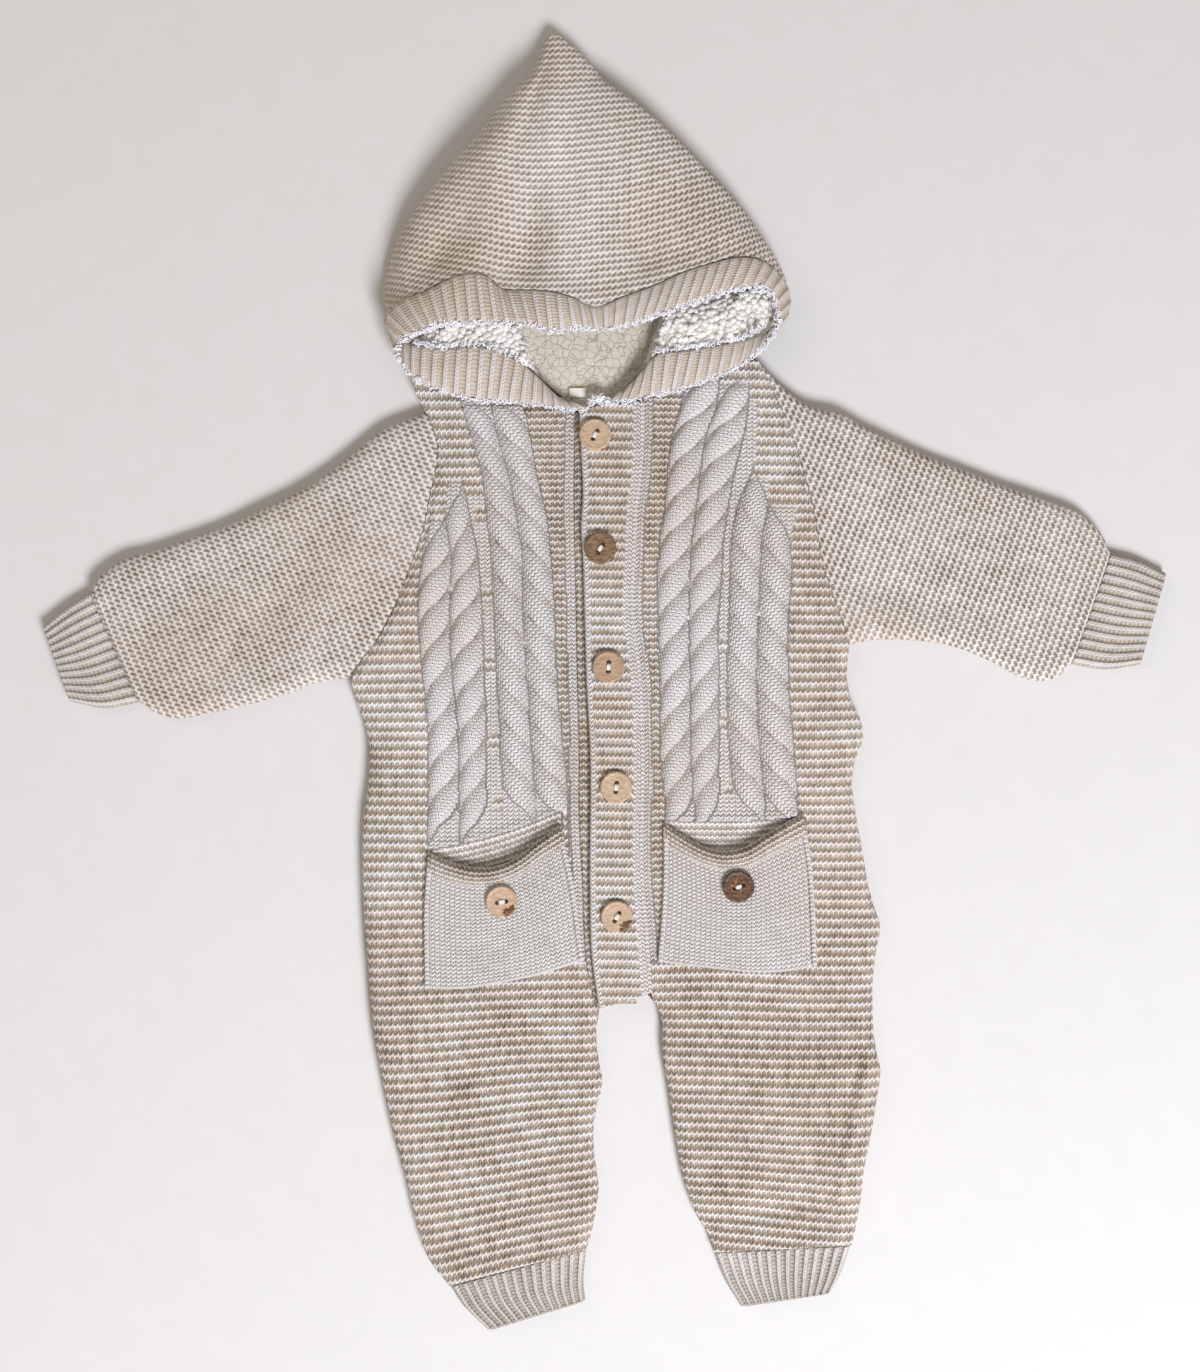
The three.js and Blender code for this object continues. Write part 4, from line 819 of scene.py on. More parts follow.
def backPanel():
    outline = backOutline()
    along = np.roll(outline, -1, axis=0) - np.roll(outline, 1, axis=0)
    for _ in range(2):
        along = (np.roll(along, 1, axis=0) + along * 2 + np.roll(along, -1, axis=0)) / 4
    along = along / np.linalg.norm(along, axis=1)[:, None]
    inward = joined(-along[:, 1], along[:, 0])
    cloth = Cloth()
    rings = []
    for share in np.linspace(0, 1, backCloth["profile"] + 1):
        angle = share * math.pi / 2
        depth = backCloth["inset"] * (1 - math.sin(angle)) + 0.15
        z = backCloth["wall"] * (1 - math.cos(angle))
        x, y = outline[:, 0] + inward[:, 0] * depth, outline[:, 1] + inward[:, 1] * depth
        ridges = garterRelief(np.zeros_like(y), outline[:, 1] / stitch["ridge"])
        swell = backCloth["ridge"] * ridges * math.sin(angle) * (share < 1)
        x, y = x - inward[:, 0] * (swell - 0.4), y - inward[:, 1] * (swell - 0.4)
        rings.append(joined(x, y, np.full_like(x, z)))
    points = np.stack(rings)
    knit = joined(points[..., 0] / stitch["wide"], points[..., 1] / stitch["ridge"])
    ids = cloth.grid(points, knit)
    cloth.cells(ids, closed=True)
    flatFace(cloth, ids[0], points[0], True)
    flatFace(cloth, ids[-1], points[-1], False)
    return cloth.mesh("back", bodyKnit)


def flatFace(cloth, ids, ring, down):
    # fills a ring with triangles
    triangles = np.array(tessellate_polygon([[Vector(place) for place in ring]]))
    a, b, c = (ring[triangles[:, k]] for k in range(3))
    turn = (b[:, 0] - a[:, 0]) * (c[:, 1] - a[:, 1]) - (b[:, 1] - a[:, 1]) * (c[:, 0] - a[:, 0])
    flip = (turn > 0) == down
    triangles[flip] = triangles[flip][:, ::-1]
    cloth.add(ids[triangles])


pieces["back"] = backPanel()
print("back knitted")


# Sleeves and cuffs: flattened tubes

sleeves = {
    # raglan is (gap in x, top and low end in y, the body's line), and arm the way that the sleeve runs
    "sleeveLeft": {
        "raglan": (-0.2, 153, 3, "leftSide"), "arm": (-0.92, -0.39),
        "upper": [
            [-125, 143], [-140, 131], [-158, 117], [-176, 106], [-193, 98], [-215, 88], [-238, 80],
            [-256, 74], [-268, 71], [-279, 65], [-287, 58], [-290, 52],
        ],
        "lower": [
            [-151, 2], [-163, 0], [-178, -6], [-200, -12], [-223, -17], [-244, -20], [-253, -17], [-263, -10],
        ],
        "creases": [
            [-150, 70, 40, 12, 62, 1.4], [-190, 40, 44, 11, 40, -1.5], [-228, 20, 36, 10, 58, 1.2],
            [-255, 34, 26, 8, 70, -1.3],
        ],
    },
    "sleeveRight": {
        "raglan": (0.2, 182, 21.5, "rightSide"), "arm": (0.93, -0.36),
        "upper": [
            [100, 168], [115, 157], [134, 152], [150, 143], [165, 136], [183, 128], [204, 120],
            [227, 111], [250, 103], [270, 95], [281, 84], [286, 74],
        ],
        "lower": [
            [150, 24], [173, 24], [196, 21], [219, 12], [234, 4], [245, 1], [257, 4], [264, 11],
        ],
        "creases": [
            [160, 95, 44, 12, 118, 1.4], [190, 45, 46, 8, 168, -1.6], [222, 62, 40, 12, 130, 1.2],
            [255, 50, 26, 8, 112, -1.3],
        ],
    },
}
sleeveGrid = {
    "rows": 264, "across": 132, "coarse": 12, "wall": 3.2, "ridge": 0.5, "stitch": 3.2,
    "fold": heights["foldRadius"], "inside": 80,
}


def flatTube(name, material, at, grid, top, knit, relief, stitches):
    # a flattened tube over a patch: across its top, back under it, with a plain inside
    def section(v, counts, inset, withRelief):
        u, onTop = ringShares(counts, 0.35)
        uu, vv = np.broadcast_arrays(u[None, :], v[:, None])
        near, far = at(np.zeros_like(v), v), at(np.ones_like(v), v)
        width = np.linalg.norm(far - near, axis=-1)[:, None]
        place = at(inset / width + uu * (1 - 2 * inset / width), vv)
        x, y = place[..., 0], place[..., 1]
        rise = turned(np.minimum(uu, 1 - uu) * (width - 2 * inset), grid["fold"] - inset * 0.5)
        z = np.where(onTop, mix(top / 2, top - inset, rise), mix(top / 2, inset, rise))
        if withRelief:
            z = z + np.where(onTop, relief(x, y, uu, vv) * mix(0.4, 1.0, rise), 0.0)
        return joined(x, y, z), uu, vv
    rows, across, coarse = grid["rows"], grid["across"], grid["coarse"]
    few = shares(max(rows // coarse, 2))
    outer, u, v = section(shares(rows), (across, 3 * coarse), 0.0, True)
    inner, innerU, innerV = section(few, (across // coarse, 3), grid["wall"], False)
    cloth = Cloth()
    ids = cloth.grid(outer, joined(*knit(outer[..., 0], outer[..., 1], u, v)))
    within = cloth.grid(inner, joined(innerU * stitches / 2, innerV * 20))
    cloth.cells(ids, closed=True)
    cloth.cells(within[:, ::-1], closed=True)
    cloth.rim(looped(ids[0]), looped(within[0]))
    cloth.rim(looped(ids[-1])[::-1], looped(within[-1])[::-1])
    return cloth.mesh(name, material)


def sleeve(name, size):
    gap, top, low, side = size["raglan"]

    def raglan(u):
        y = mix(top, low, np.asarray(u, float))
        return joined(line[side](y)[..., 0] + gap, y)
    upper = curveThrough([raglan(0.0)] + size["upper"])
    lower = curveThrough([raglan(1.0)] + size["lower"])
    ends = upper(np.array(1.0)), lower(np.array(1.0))
    at = patchOf(raglan, lambda u: mix(ends[0], ends[1], np.asarray(u, float)[..., None]), upper, lower)
    armX, armY = size["arm"]

    def knit(x, y, u, v):
        bend = 0.9 * wobble(x, y, 24, 2)
        return (x * armY - y * armX) / sleeveGrid["stitch"], (x * armX + y * armY + bend) / stitch["fine"]

    def relief(x, y, u, v):
        garter = sleeveGrid["ridge"] * garterRelief(*knit(x, y, u, v))
        seam = -0.9 * (1 - ease(v / 0.03)) - 1.8 * ease((v - 0.985) / 0.015)
        return garter + creaseAt(size["creases"], x, y) + 0.9 * wobble(x, y, 17, 3) + seam
    return flatTube(name, sleeveKnit, at, sleeveGrid, heights["sleeveTop"], knit, relief,
                    sleeveGrid["inside"])


cuffs = {
    # rows from the seam to the free edge: [x, y of one side, x, y of the other]
    "sleeveCuffLeft": {
        "ribs": 12,
        "rows": [[-290.4, 51.6, -263.2, -11], [-304, 42.8, -282, -14.2], [-316.8, 32.4, -301.5, -10.6]],
    },
    "sleeveCuffRight": {
        "ribs": 12,
        "rows": [[286.5, 73.4, 264.3, 10.6], [302.4, 69.8, 283.2, 7.6], [317.6, 62.4, 302.6, 10.2]],
    },
    "legCuffLeft": {
        "ribs": 14,
        "rows": [[-87, -341, -10, -320], [-79, -353, -11.6, -337.6], [-65.8, -365.8, -10.6, -348.8]],
    },
    "legCuffRight": {
        "ribs": 14,
        "rows": [[62.4, -321.9, 139.6, -317.9], [68.6, -338, 134, -333.8], [77.2, -352.2, 128.4, -344.4]],
    },
}
cuffGrid = {
    "rows": 36, "across": 144, "coarse": 12, "wall": 2.6, "rib": 1.5, "row": 2.2, "fold": 6.0, "length": 32,
}


def cuff(name, size):
    read = smoothRows([0, 0.5, 1], size["rows"])

    def at(u, v):
        ends = read(v)
        return mix(ends[..., 0:2], ends[..., 2:4], np.asarray(u, float)[..., None])

    def knit(x, y, u, v):
        return u * size["ribs"] + 0.08 * wobble(x, y, 9, 5), v * cuffGrid["length"] / cuffGrid["row"]

    def relief(x, y, u, v):
        ribs, rows = knit(x, y, u, v)
        crest = np.sin(np.pi * ribs) ** 2
        bead = 0.12 * np.cos(2 * np.pi * rows) * crest
        return cuffGrid["rib"] * (crest ** 0.7 - 0.75) + bead + 0.5 * ease((v - 0.9) / 0.1)
    return flatTube(name, cuffKnit, at, cuffGrid, heights["cuffTop"], knit, relief, size["ribs"] * 2)


for name, size in sleeves.items():
    pieces[name] = sleeve(name, size)
for name, size in cuffs.items():
    pieces[name] = cuff(name, size)
print("sleeves and cuffs knitted")


# Hood: a pouch whose mouth is held up, a ribbed band round it, and a lining of pile

hood = {
    # [x, y, z] of the outline from the tip to the left corner of the mouth, and to the right corner
    "left": [
        [-34, 362, 6], [-38, 352, 6], [-45, 340, 6], [-60, 325, 6], [-71, 310, 6], [-89, 290, 6],
        [-107, 267, 6], [-116, 252, 6], [-122, 234, 7], [-123.5, 216, 10], [-121.5, 206, 15],
    ],
    "right": [
        [-21, 362, 6], [-15, 357, 6], [-5, 346, 6], [4, 335, 6], [18, 325, 6], [36, 310, 6], [54, 292, 6],
        [69, 276, 6], [84, 259, 6], [94, 244, 7], [101.5, 230, 10], [103.5, 219, 14],
    ],
    # [x, y, z] of the seam with the band, over the mouth
    "mouthTop": [
        [-121.5, 206, 15], [-112, 213, 26], [-99.5, 217, 32], [-88.5, 222, 35], [-76.7, 225.6, 37.5],
        [-66, 225, 38.5], [-55.3, 217.6, 36], [-45.7, 217, 37], [-31, 216, 39], [-18.5, 213, 40],
        [-4.9, 207.5, 40.5], [10.7, 213, 40], [29, 220, 38.5], [43.8, 227, 36.5], [58.4, 232, 34],
        [75, 236.5, 30], [88, 235.4, 25], [97, 229.5, 19], [103.5, 219, 14],
    ],
    # [x, y] of the mouth's lower side on the floor
    "mouthBase": [
        [-121.5, 206], [-120, 197], [-112, 191], [-100, 186.5], [-60, 184], [0, 184], [60, 186],
        [80, 190], [92, 198], [100, 207], [103.5, 219],
    ],
    "creases": [
        [-40, 245, 9, 34, 0, -5], [-62, 262, 9, 32, -10, 3.4], [-8, 268, 10, 36, 8, 3.6],
        [22, 240, 10, 28, 24, -4], [-90, 240, 9, 20, -30, -2.8], [62, 256, 12, 24, 40, 2.6],
        [-30, 318, 6, 30, 4, 2.4], [-55, 222, 3, 9, 30, -2.6],
    ],
    # the same rows, for painted shade on the hood: a positive height paints it darker, a negative one paints
    # a highlight
    "shades": [
        [57, 250, 44, 30, 30, 0.75], [-82, 238, 26, 18, 35, 0.7], [-37, 246, 20, 8, 80, 0.9],
        [-22, 296, 50, 17, 84, -0.8], [-59, 227, 8, 4, -20, -0.9], [0, 219, 22, 9, 0, 0.5],
    ],
    "tip": {"left": -34.0, "right": -21.0, "y": 362, "z": 6, "round": 3.4, "thick": 3},
    "puff": 12, "wall": 3.2, "rows": 240, "across": 204, "coarse": 12, "ridge": 0.6,
    "inside": (0.12, 1, 14),  # the rows of its inside: first share, last share and count
    # how much the rows sag, per mm squared from their middle at this x
    "stitch": 3.2, "smile": 0.0022, "middle": -30,
}
hoodLeft, hoodRight = curveThrough(hood["left"]), curveThrough(hood["right"])
mouthTop, mouthBase = curveThrough(hood["mouthTop"]), curveThrough(hood["mouthBase"])


def hoodTip(u):
    u = np.asarray(u, float)
    tip = hood["tip"]
    rise = np.sin(np.pi * u)
    x = mix(tip["left"], tip["right"], u)
    return joined(x, tip["y"] + tip["round"] * rise, tip["z"] + tip["thick"] * rise)


def flatOf(curve):
    return lambda share: curve(share)[..., :2]


hoodPlan = patchOf(hoodTip, mouthTop, hoodLeft, hoodRight)
hoodFloor = patchOf(flatOf(hoodTip), mouthBase, flatOf(hoodLeft), flatOf(hoodRight))


def hoodKnit(x, y, run):
    # run is the way round the pouch, so that the stitches keep their size on its steep sides
    sag = hood["smile"] * (x - hood["middle"]) ** 2
    return run / hood["stitch"], (y - sag + 0.9 * wobble(x, y, 17, 6)) / stitch["fine"]


def hoodRing(v, counts, inset, withRelief):
    # rings of the pouch: over its crown, and back along the floor
    u, onTop = ringShares(counts, 0.6)
    uu, vv = np.broadcast_arrays(u[None, :], v[:, None])
    left, right = hoodLeft(v), hoodRight(v)
    width = np.linalg.norm((right - left)[:, :2], axis=-1)[:, None]
    squeezed = inset / width + uu * (1 - 2 * inset / width)
    top, floor = hoodPlan(squeezed, vv), hoodFloor(squeezed, vv)
    dome = (1 - np.abs(2 * squeezed - 1) ** 3) * np.sin(np.pi * vv) ** 0.8
    soft = ease(np.minimum(squeezed, 1 - squeezed) * 8) * ease(vv * 4) * ease((1 - vv) * 9)
    x, y = top[..., 0], top[..., 1]
    crown = top[..., 2] + hood["puff"] * dome + creaseAt(hood["creases"], x, y) * soft - inset
    run = x.copy()
    if withRelief:
        half = counts[0] // 2
        step = np.hypot(np.diff(x[:, :counts[0] + 1]), np.diff(crown[:, :counts[0] + 1]))
        run[:, 1:counts[0] + 1] = np.cumsum(step, axis=1)
        run[:, 0] = 0.0
        run[:, :counts[0] + 1] += (x - run)[:, half:half + 1]
        edge = ease(np.minimum(squeezed, 1 - squeezed) * 20)
        crown = crown + hood["ridge"] * garterRelief(*hoodKnit(x, y, run)) * mix(0.5, 1.0, edge)
        crown = crown + 0.7 * wobble(x, y, 24, 8) * soft
    distance = np.minimum(squeezed, 1 - squeezed) * width
    lip = np.where(squeezed > 0.5, right[:, None, 2], left[:, None, 2])
    low = lip * (1 - turned(distance, heights["foldRadius"])) + inset
    edgeMean = (np.arange(len(u)) == 0) | (np.arange(len(u)) == counts[0])
    crown = np.where(edgeMean[None, :] & (inset > 0), (crown + low) / 2, crown)
    return np.where(onTop[:, None], joined(x, y, crown), atHeight(floor, low)), run


def hoodShell():
    cloth = Cloth()
    counts = (hood["across"], 3 * hood["coarse"])
    v = shares(hood["rows"])
    outer, run = hoodRing(v, counts, 0.0, True)
    x, y = outer[..., 0], outer[..., 1]
    # painted shade and highlight placed on the hood
    ids = cloth.grid(outer, joined(*hoodKnit(x, y, run)), groove=creaseAt(hood["shades"], x, y))
    few = (hood["across"] // hood["coarse"], 3)
    inner, _ = hoodRing(np.linspace(*hood["inside"]), few, hood["wall"], False)
    within = cloth.grid(inner, joined(inner[..., 0] / 3, inner[..., 1] / 3))
    cloth.cells(ids, closed=True)
    cloth.cells(within[:, ::-1], closed=True)
    cloth.rim(looped(ids[-1])[::-1], looped(within[-1])[::-1])
    cloth.cap(ids[0])
    cloth.cap(within[0], outward=False)
    return cloth.mesh("hoodShell", hoodKnitMaterial)


hoodBand = {
    # [x, y, z] of the sewn edge, [x, y, z] of the free edge, from the left end at the neck round to the right
    "rows": [
        [-15, 157, 15.8, -9, 153.8, 16], [-23.2, 158.8, 17, -19, 153.8, 16.6],
        [-31, 165, 19, -30, 155.5, 17], [-38.7, 172, 20.5, -40, 156.6, 17], [-50, 180, 22, -54, 158, 17],
        [-69.7, 186.6, 23, -72, 159.5, 17.4], [-90, 185.6, 22, -92, 164.4, 18],
        [-104, 188, 19.5, -105, 170.6, 18], [-112, 191.6, 16.6, -112, 178, 17.8],
        [-118, 196, 14.6, -115.4, 184.5, 19], [-121.8, 201.4, 16, -114, 190, 22.5],
        [-121, 205.2, 20, -109, 192.6, 26.5], [-112, 211.9, 27, -102, 195.8, 30.5],
        [-99.5, 215.8, 32.4, -93, 198.4, 33.5], [-76.7, 224.4, 38, -74, 198.9, 38],
        [-66, 223.8, 38.8, -62, 198.6, 39], [-55.3, 216.4, 36.6, -50, 198.6, 39],
        [-45.7, 215.8, 37.6, -41, 197.8, 39.4], [-31, 214.8, 39.6, -29, 194.4, 39],
        [-18.5, 211.8, 40.5, -16, 196, 38.5], [-4.9, 206.3, 40.8, -3, 195.4, 37],
        [10.7, 211.8, 40.5, 9, 196.8, 38.5], [29, 218.8, 39, 23, 200.8, 39],
        [43.8, 225.8, 37, 37, 206, 37.5], [58.4, 230.8, 34.6, 52, 211.5, 35],
        [75, 235.2, 30.8, 68, 217.6, 32], [88, 234, 26.2, 82, 220.4, 28.6],
        [97, 228.4, 20.6, 91, 218.6, 25.4], [103, 219.6, 16.4, 96, 211.6, 22.5],
        [103.4, 210.4, 14.4, 97.4, 203.4, 20], [99, 203.4, 14, 94.6, 196.4, 18.4],
        [91, 197, 16.6, 88.4, 188.6, 17.8], [80, 191.6, 21, 77, 179.6, 17.6],
        [59.2, 186.8, 22.6, 56, 169.6, 17.4], [44.2, 184.4, 22.6, 40, 164.6, 17],
        [29.3, 182.2, 21.8, 27, 161.8, 17], [20.4, 173.4, 19.8, 15, 159.2, 17],
        [12.7, 165.6, 18, 8.4, 158, 16.6], [5.5, 160.4, 16.4, 2, 157, 16.2],
    ],
    "wall": 3.4, "pitch": 6.5, "rib": 1.2, "perRib": 10, "across": 13, "sewn": -0.04, "bulge": 1.4,
    "row": 2.2, "width": 25,
}
bandRows = np.array(hoodBand["rows"], float)
bandKeys = np.concatenate([[0], np.cumsum(np.linalg.norm(np.diff(bandRows, axis=0), axis=1) / math.sqrt(2))])
bandLine = smoothRows(bandKeys, bandRows)


def bandAt(key, share):
    # the middle of the band's wall
    row = bandLine(key)
    place = mix(row[..., :3], row[..., 3:], share[..., None])
    place[..., 2] += hoodBand["bulge"] * np.sin(np.pi * share)
    return place


def bandCloth():
    ribs = int(round(bandKeys[-1] / hoodBand["pitch"]))
    key = np.linspace(0, bandKeys[-1], ribs * hoodBand["perRib"] + 1)
    count = hoodBand["across"]
    flat = shares(count) * (1 - hoodBand["sewn"]) + hoodBand["sewn"]
    share = np.concatenate([flat, flat[::-1]])
    side = np.concatenate([np.ones(count + 1), -np.ones(count + 1)])
    thin = np.concatenate([np.where(np.arange(count + 1) % count == 0, 0.45, 1.0)] * 2)
    keys, sharesAll = np.broadcast_arrays(key[:, None], share[None, :])
    place = bandAt(keys, sharesAll)
    along = bandAt(np.minimum(keys + 1, bandKeys[-1]), sharesAll) - bandAt(np.maximum(keys - 1, 0), sharesAll)
    across = bandAt(keys, np.ones_like(sharesAll)) - bandAt(keys, np.zeros_like(sharesAll))
    normal = np.cross(along, across)
    normal /= np.linalg.norm(normal, axis=-1)[..., None]
    rib = keys / bandKeys[-1] * ribs
    crest = np.sin(np.pi * rib) ** 2
    crest = np.where(side > 0, crest, 1 - crest)
    rows = sharesAll * hoodBand["width"] / hoodBand["row"]
    bead = 0.12 * np.cos(2 * np.pi * rows) * crest
    lift = hoodBand["wall"] / 2 + hoodBand["rib"] * (crest ** 0.8 - 0.6) + bead
    points = place + normal * (side * thin * lift)[..., None]
    cloth = Cloth()
    shifted = rib + np.where(side > 0, 0.0, 0.5)
    cloth.closedTube(cloth.grid(points, joined(shifted, rows)))
    return cloth.mesh("hoodBand", ribKnit)


lining = {
    # [x, y] where the pile leaves the band
    "start": [
        [-115, 195], [-104, 189.4], [-90, 187.1], [-69.7, 188.2], [-60, 185.6], [-50, 181.6], [-38.7, 174],
        [-31, 167], [-23.2, 161], [-15, 157.8], [-5, 154.4], [5.5, 158.6], [12.7, 166.6], [20.4, 175.4],
        [29.3, 183.8], [44.2, 186], [59.2, 188.6], [80, 193.6], [88, 198.2], [96, 205],
    ],
    "left": -114.0, "right": 95.5, "end": 222, "droop": 26,
    "rows": 84, "columns": 252, "coarse": 12, "wall": 3.0, "curl": 1.5,
}


def liningHeight(x, y, start):
    # low at the neck, with a cheek at each side that rises from a rolled front; cheek is 1 on them
    leftStep, rightStep = -47 + (202 - y) * 0.37, 29 - (201 - y) * 0.3
    cheek = ease((leftStep - x) / 5) + ease((x - rightStep) / 5)
    cheekTop = mix(13, 22.5, ease(np.minimum(x + 117, 99 - x) / 28))
    inY = y - start
    roll = ease(inY / 6 + 0.75) * (1 - 0.5 * ease((inY - 16) / 18))
    neck = 10 + 1.2 * ease((x + 40) / 20) * ease((20 - x) / 20)
    return mix(neck, mix(neck, cheekTop, roll), cheek), cheek


def liningCloth():
    v, u = np.meshgrid(shares(lining["rows"])[::-1], shares(lining["columns"]), indexing="ij")
    x = mix(lining["left"], lining["right"], u)
    start = byPlace(lining["start"])(x)
    y = mix(start, lining["end"] - lining["droop"] * np.abs(u - 0.5) ** 3, v)
    height, cheek = liningHeight(x, y, start)
    cheek = np.clip(cheek, 0, 1)
    bumps = np.abs(wobble(x, y, 1.25, 1)) * 0.7 + 0.5 * wobble(x, y, 2.3, 5) + 0.25 * wobble(x, y, 0.8, 9)
    z = height + lining["curl"] * (bumps - 0.3) * mix(0.15, 0.9, cheek)

    def below(points):
        low = np.maximum(points[..., 2] - lining["wall"], heights["backWall"] + 2 * heights["gap"])
        return atHeight(points, low)
    return slab("hoodLining", sherpa, joined(x, y, z), joined(x / 3, y / 3), below, lining["coarse"],
                mask=cheek)


pieces["hoodShell"] = hoodShell()
pieces["hoodBand"] = bandCloth()
sherpa = pileMaterial()
pieces["hoodLining"] = liningCloth()
print("hood knitted and lined")


# Button band: the upper one in garter stitch with a chain at each edge, the lower one a strip beside it

placket = {
    # [y, x] of the band's free edge
    "left": [
        [153, -14], [129, -13], [105, -12], [88, -13], [71, -12], [38, -11], [2, -10], [-37, -8],
        [-115, -8], [-153, -7], [-183, -3],
    ],
    # top and low end in y of both edges, and the width of a chain stitch at each
    "leftEnds": (153.8, -183.0), "rightEnds": (158.8, -174.4), "leftChain": 3.2, "rightChain": 2.8,
    "rows": 384, "columns": 36, "coarse": 6, "wall": 3.3, "ridge": 1.1, "pitch": 5.2, "stitch": 2.5,
}
underStrip = {
    # "hidden" is how far its right edge stays under the upper band
    "top": 152.0, "end": -180.5, "hidden": 10, "height": 10.9, "low": 8.0, "bead": 0.4, "chain": 2.8,
    "pitch": 3.8, "groove": 0.55, "rows": 300, "columns": 24, "coarse": 6,
}


def placketOver():
    u, v = evenGrid(placket["rows"], placket["columns"])
    leftY, rightY = mix(*placket["leftEnds"], v), mix(*placket["rightEnds"], v)
    start = byHeight(placket["left"])(leftY)[..., 0]
    end = line["rightEdge"](rightY)[..., 0] - 0.15
    x, y = mix(start, end, u), mix(leftY, rightY, u)
    fromLeft, toRight = x - start, end - x
    z = heights["placketTop"] - 1.4 * (1 - turned(fromLeft, 2.5)) - 3.5 * (1 - ease(toRight / 6.5))
    knitU, knitV = x / placket["stitch"], (y + 0.5 * wobble(x, y, 14, 7)) / placket["pitch"]
    mask = np.clip(ease((3.4 - fromLeft) / 0.8) + ease((5.6 - toRight) / 0.8), 0, 1)
    rightU, leftU = toRight / placket["rightChain"], fromLeft / placket["leftChain"]
    strand = joined(np.where(toRight < 8, rightU, leftU), y / stitch["row"])
    bead = 0.12 * np.abs(np.sin(np.pi * rightU)) + 0.5
    z = z + mix(placket["ridge"] * garterRelief(knitU, knitV), bead, mask) - 0.3

    def below(points):
        drop = 2.6 * ease((points[..., 0] - line["rightEdge"](points[..., 1])[..., 0] + 8) / 6)
        low = np.maximum(points[..., 2] - placket["wall"], heights["frontTop"] + heights["gap"] - drop)
        return atHeight(points, low)
    return slab("placketOver", bodyKnit, joined(x, y, z), joined(knitU, knitV), below, placket["coarse"],
                strand, mask)


def placketUnder():
    u, v = evenGrid(underStrip["rows"], underStrip["columns"])
    y = mix(underStrip["top"], underStrip["end"], v)
    start = line["leftEdge"](y)[..., 0] + 0.15
    x = mix(start, line["rightEdge"](y)[..., 0] - underStrip["hidden"], u)
    z = underStrip["height"] + underStrip["bead"] * np.abs(np.sin(np.pi * (x - start) / underStrip["chain"]))
    knit = joined(x / stitch["wide"], y / underStrip["pitch"])
    # the low strip is painted darker, as painted shade beside the upper band
    return slab("placketUnder", bodyKnit, joined(x, y, z), knit,
                lambda points: atHeight(points, underStrip["low"]), underStrip["coarse"],
                groove=underStrip["groove"])


pockets = {
    "pocketLeft": {
        "left": [[-99, -95], [-101, -120], [-101, -172]],
        "right": [[-24, -80], [-17, -112], [-11, -156]],
        "roll": [[-99, -94], [-87, -99], [-73, -102.5], [-60, -101.5], [-48, -96], [-37, -87], [-24, -78]],
        "hem": [[-101, -172], [-79, -172], [-60, -169], [-40, -165], [-11, -156]],
    },
    "pocketRight": {
        "left": [[33, -78], [33, -115], [30, -157]],
        "right": [[112, -73], [116, -95], [120, -159]],
        "roll": [[33, -77], [45, -85], [56, -91], [68, -93.5], [80, -91], [91, -84], [103, -77], [112, -72]],
        "hem": [[30, -157], [47, -159], [66, -161], [86, -163], [105, -162], [120, -159]],
    },
}
pocketGrid = {
    "rows": 120, "columns": 108, "coarse": 12, "stitch": 2.8, "row": 2.1, "purl": 2.6,
    "roll": 3.4, "rollShare": 0.15, "round": 1.6, "seam": 3.2,
}


def pocketCloth(name, size):
    top, hem, left, right = [curveThrough(size[edge]) for edge in ("roll", "hem", "left", "right")]
    u, v = evenGrid(pocketGrid["rows"], pocketGrid["columns"])
    v = mix(v ** 1.5, v, 0.35)
    place = patchOf(top, hem, left, right)(u, v)
    x, y = place[..., 0], place[..., 1]
    width = np.linalg.norm(top(1.0) - top(0.0)) + 8
    depth = np.linalg.norm(hem(0.5) - top(0.5))
    base = heights["frontTop"] + heights["gap"]
    rolled = np.sin(np.pi * np.clip(v / pocketGrid["rollShare"], 0, 1)) ** 0.8
    toSide = np.minimum(u, 1 - u) * width
    toHem = (1 - v) * depth
    edge = np.ones_like(u)
    for distance in (toSide, toHem, v * depth):
        edge = edge * turned(distance, pocketGrid["round"])
    z = base + 0.6 + (heights["pocketWall"] - 0.6) * edge
    z = z + pocketGrid["roll"] * rolled * np.sin(np.pi * mix(0.1, 0.9, u))
    z = z + 0.35 * wobble(x, y, 17, 2) * edge
    knitU, knitV = u * width / pocketGrid["stitch"], -v * depth / pocketGrid["row"]
    purl = v * depth / pocketGrid["purl"]
    onRoll = ease((pocketGrid["rollShare"] * 1.05 - v) / 0.02)
    z = z + 0.4 * onRoll * garterRelief(knitU, purl)
    sewn = np.exp(-((toSide - pocketGrid["seam"]) / 0.8) ** 2) * (v > 0.1)
    z = z + 0.22 * np.abs(np.sin(np.pi * knitU)) * edge - 0.9 * sewn
    # painted shade on the top of the roll, below the pocket mouth
    groove = 0.5 * onRoll * ease(1.1 - v / pocketGrid["rollShare"])
    return slab(name, bodyKnit, joined(x, y, z), joined(knitU, purl), lambda points: atHeight(points, base),
                pocketGrid["coarse"], joined(knitU, knitV), 1 - onRoll, groove)


pieces["placketOver"] = placketOver()
pieces["placketUnder"] = placketUnder()
for name, size in pockets.items():
    pieces[name] = pocketCloth(name, size)
print("band and pockets knitted")


# Buttons: turned wooden discs with two holes, sewn on with white thread

